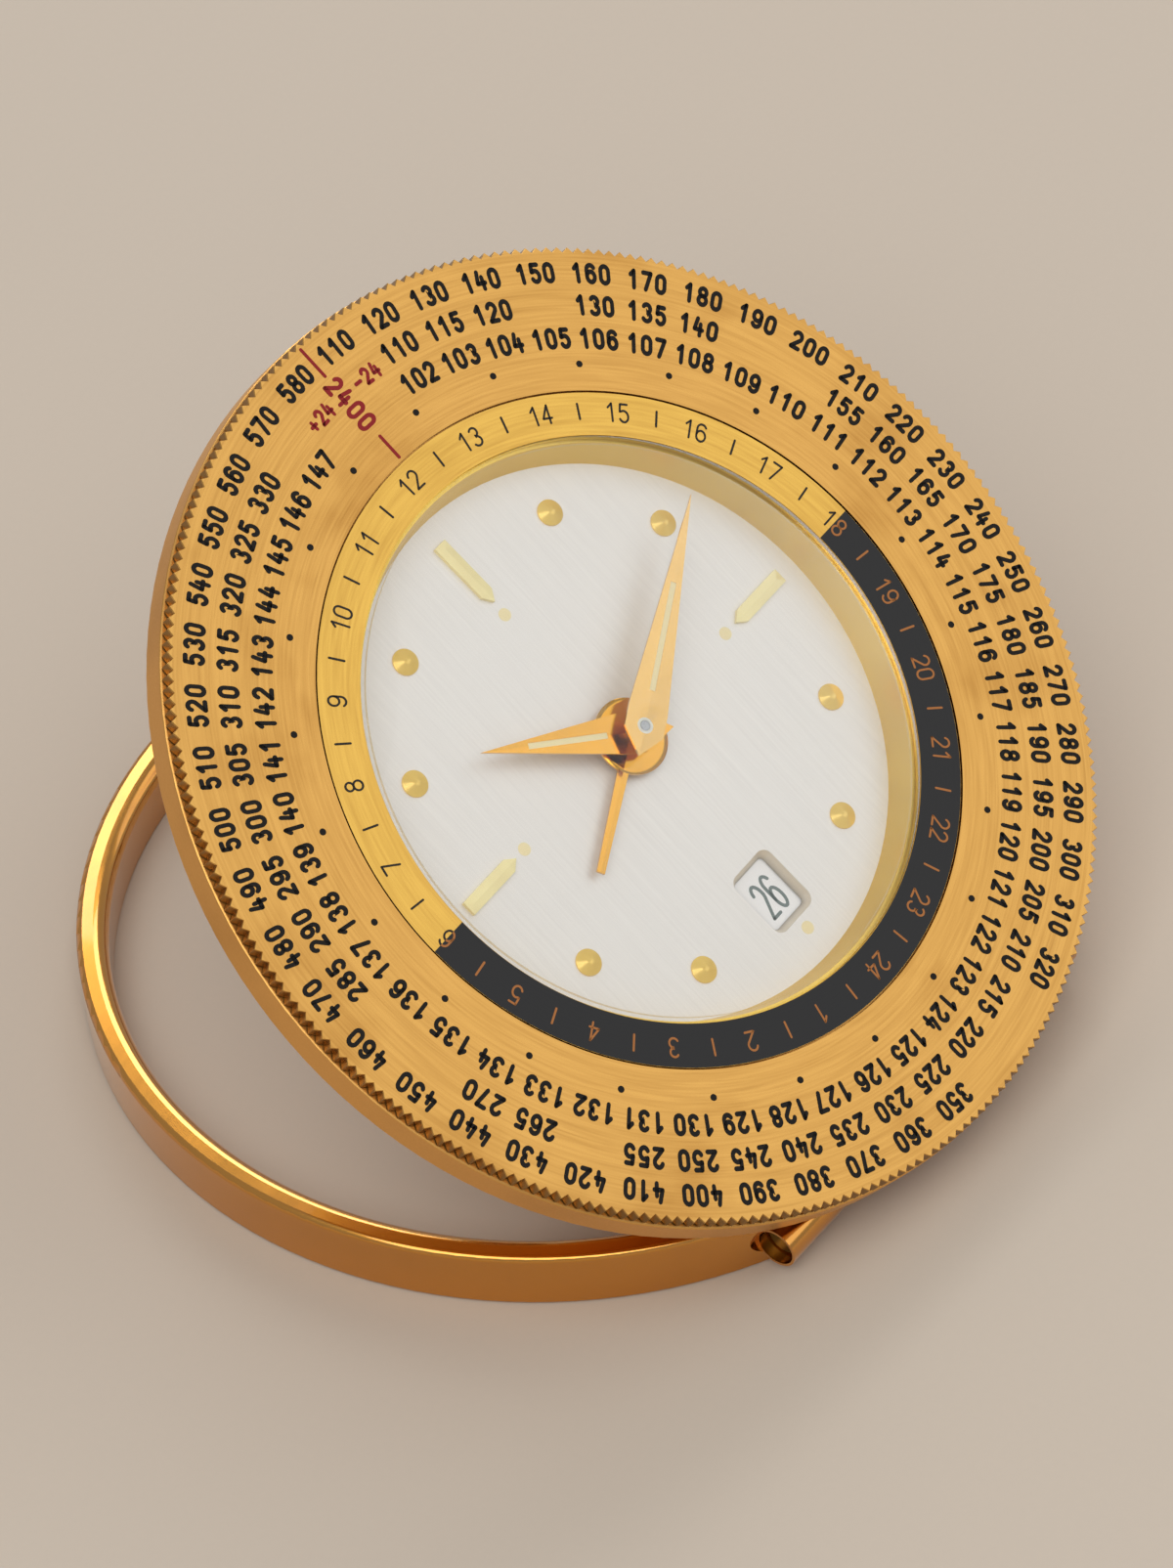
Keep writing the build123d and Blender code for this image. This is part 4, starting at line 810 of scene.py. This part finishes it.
def add_baton(mesh, angle):
    """Adds a roof-shaped marker, square at its outer end and pointed at the inner one."""
    outer, shoulder, tip = 21.2 * MM, 15.9 * MM, 15.0 * MM
    half_width = 0.64 * MM
    foot = -DIAL_DEPTH
    eaves = foot + 0.34 * MM
    crest = foot + 0.45 * MM

    def corner(x, y, height):
        return mesh.verts.new(turned_spot(angle, height)(x, y))

    outline = ((-half_width, outer), (half_width, outer), (half_width, shoulder), (0.0, tip),
               (-half_width, shoulder))
    low = [corner(x, y, foot) for x, y in outline]
    high = [corner(x, y, eaves) for x, y in outline]
    crest_out, crest_in = corner(0.0, outer - half_width, crest), corner(0.0, shoulder, crest)
    mesh.faces.new(low)
    for index in range(len(outline)):
        following = (index + 1) % len(outline)
        mesh.faces.new((low[index], low[following], high[following], high[index]))
    for roof in ((high[0], high[1], crest_out), (high[1], high[2], crest_in, crest_out),
                 (high[2], high[3], crest_in), (high[3], high[4], crest_in),
                 (high[4], high[0], crest_out, crest_in)):
        mesh.faces.new(roof)


# Hours of the long markers, and the hour and radius of each luminous dot
BATON_HOURS = (12, 3, 9)
LUME_DOTS = ((12, 13.7 * MM), (3, 13.7 * MM), (9, 13.7 * MM), (6, 20.6 * MM))
DEGREES_PER_HOUR = 30


class CLOCK_OT_dial(bpy.types.Operator):
    """Finishes the dial and its markers and adds the luminous dots"""
    bl_idname = "clock.dial"
    bl_label = "Dial and markers"
    bl_options = {"REGISTER", "UNDO"}

    def execute(self, context):
        sizes, colours = context.scene.clock_sizes, context.scene.clock_colours
        turn = math.degrees(sizes.dial_turn)
        dress(silvered("silvered dial", colours.dial, colours.window), "dial")
        dress(marker_gilt("cone gilt", colours.marker, colours.bezel_stain), "cone_markers")
        pale = marker_gilt("baton gilt", colours.baton, colours.bezel_stain, metallic=0.1)
        dress(pale, "baton_markers")
        mesh = bmesh.new()
        for hour in BATON_HOURS:
            add_baton(mesh, hour * DEGREES_PER_HOUR + turn)
        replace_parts(make_piece("hour_batons", mesh, pale, "head"), "baton_markers")
        lume = painted("lume", colours.lume, roughness=0.7, speckle=0.05)
        dress(lume, "minute_lume", "hour_lume")
        dress(painted("date ring ground", colours.date_ground, roughness=0.6, speckle=0.04),
              "date_ring")
        mesh = bmesh.new()
        for hour, radius in LUME_DOTS:
            x, y = clock_place(radius, hour * DEGREES_PER_HOUR + turn)
            add_dot(mesh, x, y, sizes.lume_size, sizes.print_rise - DIAL_DEPTH)
        make_piece("lume_dots", mesh, lume, "head", LUME_THICKNESS)
        return {"FINISHED"}


# Clock angles along which the hands point, in degrees, and the radius of the alarm hand's hub
MINUTE_ANGLE = 59.8
HOUR_ANGLE = 301.8
ALARM_ANGLE = 241.0
ALARM_HUB_RADIUS = 2.8 * MM


class CLOCK_OT_hands(bpy.types.Operator):
    """Finishes the three hands"""
    bl_idname = "clock.hands"
    bl_label = "Hands"
    bl_options = {"REGISTER", "UNDO"}

    def execute(self, context):
        colours = context.scene.clock_colours
        for node, shade, angle, hub in (
                ("minute_hand", colours.hand, MINUTE_ANGLE, None),
                ("hour_hand", colours.low_hand, HOUR_ANGLE, None),
                ("alarm_hand", colours.low_hand, ALARM_ANGLE, ALARM_HUB_RADIUS)):
            dress(polished(f"{node} gilt", shade, colours.bezel_stain, 0.16, angle, hub), node)
        return {"FINISHED"}


# Places of each row that stay empty, counted clockwise from the date line
EMPTY_PLACES = {"outer_row": (23, 24), "middle_row": (1, 5, 9, 10, 32, 35, 36, 47, 48),
                "inner_row": (1, 48)}
# First number and step of each row
ROW_COUNTS = {"outer_row": (110, 10), "middle_row": (105, 5), "inner_row": (101, 1)}
ZONES = 24
# The red date line's bars, from one radius to another, and their width
DATE_BARS = ((36.9 * MM, 39.7 * MM), (28.4 * MM, 30.6 * MM))
DATE_BAR_WIDTH = 0.28 * MM


class CLOCK_OT_bezel_numbers(bpy.types.Operator):
    """Adds the three rows of plain numbers and the dots on the bezel"""
    bl_idname = "clock.bezel_numbers"
    bl_label = "Bezel numbers"
    bl_options = {"REGISTER", "UNDO"}

    def execute(self, context):
        sizes, colours = context.scene.clock_sizes, context.scene.clock_colours
        rise = sizes.print_rise
        black = painted("black print", colours.black, roughness=0.65, speckle=0.3)
        pitch = 360 / sizes.row_places
        for row, (first, step) in ROW_COUNTS.items():
            mesh = bmesh.new()
            for place in range(sizes.row_places):
                if place + 1 not in EMPTY_PLACES[row]:
                    add_text(mesh, str(first + step * place), getattr(sizes, row),
                             (place + 0.5) * pitch, sizes.number_height, sizes.number_stroke, rise)
            make_piece(f"{row}_numbers", mesh, black, "bezel", INK_THICKNESS)
        mesh = bmesh.new()
        for zone in range(ZONES):
            x, y = clock_place(sizes.dot_row, (zone + 0.5) * 360 / ZONES)
            add_dot(mesh, x, y, sizes.dot_size, rise)
        make_piece("zone_dots", mesh, black, "bezel", INK_THICKNESS)
        mesh = bmesh.new()
        for low, high in DATE_BARS:
            add_bar(mesh, low, high, 0.0, DATE_BAR_WIDTH, rise)
        add_text(mesh, "2400", radius=34.0 * MM, angle=0.0, height=1.9 * MM, stroke=0.4 * MM,
                 rise=rise, inwards=True)
        for text, angle in (("+24", -4.7), ("-24", 4.7)):
            add_text(mesh, text, radius=34.9 * MM, angle=angle, height=1.5 * MM,
                     stroke=0.32 * MM, rise=rise)
        red = painted("red print", colours.red, roughness=0.45, speckle=0.2)
        make_piece("date_line", mesh, red, "bezel", INK_THICKNESS)
        return {"FINISHED"}


# The lacquered half of the 24-hour ring: its edges' radii and the spans of its half turn
LACQUER_RADII = (24.32 * MM, 27.88 * MM)
LACQUER_SPANS = 96
# The numerals stand on the lacquer, this many times its height over the ring.
NUMERAL_RISE_SHARE = 1.6
RING_HOURS = 24


class CLOCK_OT_hour_ring(bpy.types.Operator):
    """Adds the dark half and the numerals of the 24-hour ring"""
    bl_idname = "clock.hour_ring"
    bl_label = "24-hour ring"
    bl_options = {"REGISTER", "UNDO"}

    def execute(self, context):
        sizes, colours = context.scene.clock_sizes, context.scene.clock_colours
        turn = math.degrees(sizes.dial_turn)
        mesh = bmesh.new()
        rise = sizes.print_rise / 2 - HOUR_RING_DEPTH
        edges = []
        for span in range(LACQUER_SPANS + 1):
            angle = 90 + turn + 180 * span / LACQUER_SPANS
            edges.append([mesh.verts.new(on_face(*clock_place(radius, angle), rise))
                          for radius in LACQUER_RADII])
        for first, second in zip(edges, edges[1:]):
            mesh.faces.new((first[0], first[1], second[1], second[0]))
        make_piece("hour_ring_dark_half", mesh, lacquered("black lacquer", colours.lacquer),
                   "head", RING_INK_THICKNESS)
        mesh = bmesh.new()
        rise = sizes.print_rise * NUMERAL_RISE_SHARE - HOUR_RING_DEPTH
        pitch = 360 / RING_HOURS
        for hour in range(1, RING_HOURS + 1):
            angle = (hour - RING_HOURS / 2) * pitch + turn
            add_text(mesh, str(hour), sizes.hour_row, angle, sizes.hour_height, sizes.hour_stroke,
                     rise, squeeze=0.92)
            add_bar(mesh, sizes.hour_row - sizes.tick_length / 2,
                    sizes.hour_row + sizes.tick_length / 2, angle + pitch / 2, sizes.hour_stroke,
                    rise)
        inks = two_inks("hour ring inks", colours.black, colours.copper, sizes.dial_turn)
        make_piece("hour_ring_numerals", mesh, inks, "head", RING_INK_THICKNESS)
        return {"FINISHED"}


DAYS = 31
SHOWN_DAY = 26


class CLOCK_OT_date_numbers(bpy.types.Operator):
    """Adds the 31 numerals of the date ring"""
    bl_idname = "clock.date_numbers"
    bl_label = "Date numerals"
    bl_options = {"REGISTER", "UNDO"}

    def execute(self, context):
        sizes, colours = context.scene.clock_sizes, context.scene.clock_colours
        mesh = bmesh.new()
        for day in range(1, DAYS + 1):
            angle = 180 + math.degrees(sizes.dial_turn) + (SHOWN_DAY - day) * 360 / DAYS
            add_date(mesh, str(day), sizes.date_row, angle, sizes.date_height, sizes.date_stroke,
                     sizes.print_rise - DATE_DEPTH)
        ink = painted("date ink", colours.date_ink, roughness=0.55, speckle=0.1)
        make_piece("date_numerals", mesh, ink, "date_ring", INK_THICKNESS)
        return {"FINISHED"}


class CLOCK_OT_stage(bpy.types.Operator):
    """Sets the floor, the studio light and the camera"""
    bl_idname = "clock.stage"
    bl_label = "Studio"
    bl_options = {"REGISTER", "UNDO"}

    def execute(self, context):
        set_floor(context.scene.clock_colours.floor)
        set_world(context.scene)
        set_lamps()
        set_camera(context.scene)
        return {"FINISHED"}


def set_floor(shade):
    mesh = bmesh.new()
    reach = 3.0
    mesh.faces.new([mesh.verts.new((x * reach, y * reach, 0.0))
                    for x, y in ((-1, -1), (1, -1), (1, 1), (-1, 1))])
    material = painted("floor", shade, roughness=0.85, speckle=0.03, grain=FLOOR_GRAIN)
    add_mesh("floor", mesh, material)


def set_world(scene):
    world = bpy.data.worlds.new("studio")
    scene.world = world
    world.use_nodes = True
    background = world.node_tree.nodes["Background"]
    background.inputs["Color"].default_value = (0.95, 0.97, 1.0, 1.0)
    background.inputs["Strength"].default_value = 0.42


WARM_WHITE = (1.0, 0.98, 0.95)
WHITE = (1.0, 1.0, 1.0)
# The point that the lamps shine at
LAMP_TARGET = Vector((0.0, 0.0, 0.02))


def add_lamp(name, place, size, brightness, shade):
    """Adds a softbox whose face shows as white in a mirror at a brightness of 1."""
    data = bpy.data.lights.new(name, "AREA")
    data.shape = "RECTANGLE"
    data.size, data.size_y = size
    data.energy = brightness * math.pi * size[0] * size[1]
    data.color = shade
    lamp = add_object(name, data)
    lamp.location = place
    lamp.rotation_euler = (LAMP_TARGET - lamp.location).to_track_quat("-Z", "Y").to_euler()


def set_lamps():
    add_lamp("key_softbox", place=(-0.42, -0.20, 0.76), size=(0.75, 0.75), brightness=2.25,
             shade=WARM_WHITE)
    add_lamp("front_softbox", place=(0.405, -0.4125, 0.4725), size=(0.75, 0.6), brightness=0.84,
             shade=WARM_WHITE)
    add_lamp("back_softbox", place=(0.50, 0.46, 0.50), size=(0.6, 0.30), brightness=3.6,
             shade=WHITE)


# The camera's place and directions in the face's own axes, and its focal length as a share of
# the picture's height
CAMERA_PLACE = (-309.8 * MM, 36.2 * MM, 479.8 * MM)
CAMERA_RIGHT = (0.5999, -0.6755, 0.4287)
CAMERA_FORWARD = (0.5318, -0.0637, -0.8445)
FOCAL_SHARE = 7500.0 / 1604.0
SENSOR_SIZE = 36.0


def face_direction(x, y, z):
    """A direction of the row frame from one in the face's own axes."""
    return (ACROSS * x + UP * y + OUT * z).normalized()


def set_camera(scene):
    data = bpy.data.cameras.new("camera")
    data.sensor_width = SENSOR_SIZE
    data.lens = SENSOR_SIZE * FOCAL_SHARE
    data.clip_start = 0.01
    camera = add_object("camera", data)
    right = face_direction(*CAMERA_RIGHT)
    back = -face_direction(*CAMERA_FORWARD)
    matrix = Matrix((right, back.cross(right), back)).transposed().to_4x4()
    matrix.translation = on_face(*CAMERA_PLACE)
    camera.matrix_world = matrix
    scene.camera = camera
    scene.view_settings.view_transform = "Standard"


OPERATORS = (CLOCK_OT_case, CLOCK_OT_stand, CLOCK_OT_movement, CLOCK_OT_dial, CLOCK_OT_hands,
             CLOCK_OT_bezel_numbers, CLOCK_OT_hour_ring, CLOCK_OT_date_numbers, CLOCK_OT_stage)


class CLOCK_PT_panel(bpy.types.Panel):
    """Lists the clock's pieces, sizes and colours"""
    bl_idname = "CLOCK_PT_panel"
    bl_label = "World time clock"
    bl_space_type = "VIEW_3D"
    bl_region_type = "UI"
    bl_category = "Clock"

    def draw(self, context):
        for operator in OPERATORS:
            self.layout.operator(operator.bl_idname)
        for group in (context.scene.clock_sizes, context.scene.clock_colours):
            for name in group.__annotations__:
                self.layout.prop(group, name)


CLASSES = (ClockSizes, ClockColours, *OPERATORS, CLOCK_PT_panel)


def register():
    for member in CLASSES:
        bpy.utils.register_class(member)
    bpy.types.Scene.clock_sizes = PointerProperty(type=ClockSizes)
    bpy.types.Scene.clock_colours = PointerProperty(type=ClockColours)


def unregister():
    del bpy.types.Scene.clock_sizes
    del bpy.types.Scene.clock_colours
    for member in reversed(CLASSES):
        bpy.utils.unregister_class(member)


def main():
    register()
    for operator in OPERATORS:
        group, name = operator.bl_idname.split(".")
        getattr(getattr(bpy.ops, group), name)()


if __name__ == "__main__":
    main()
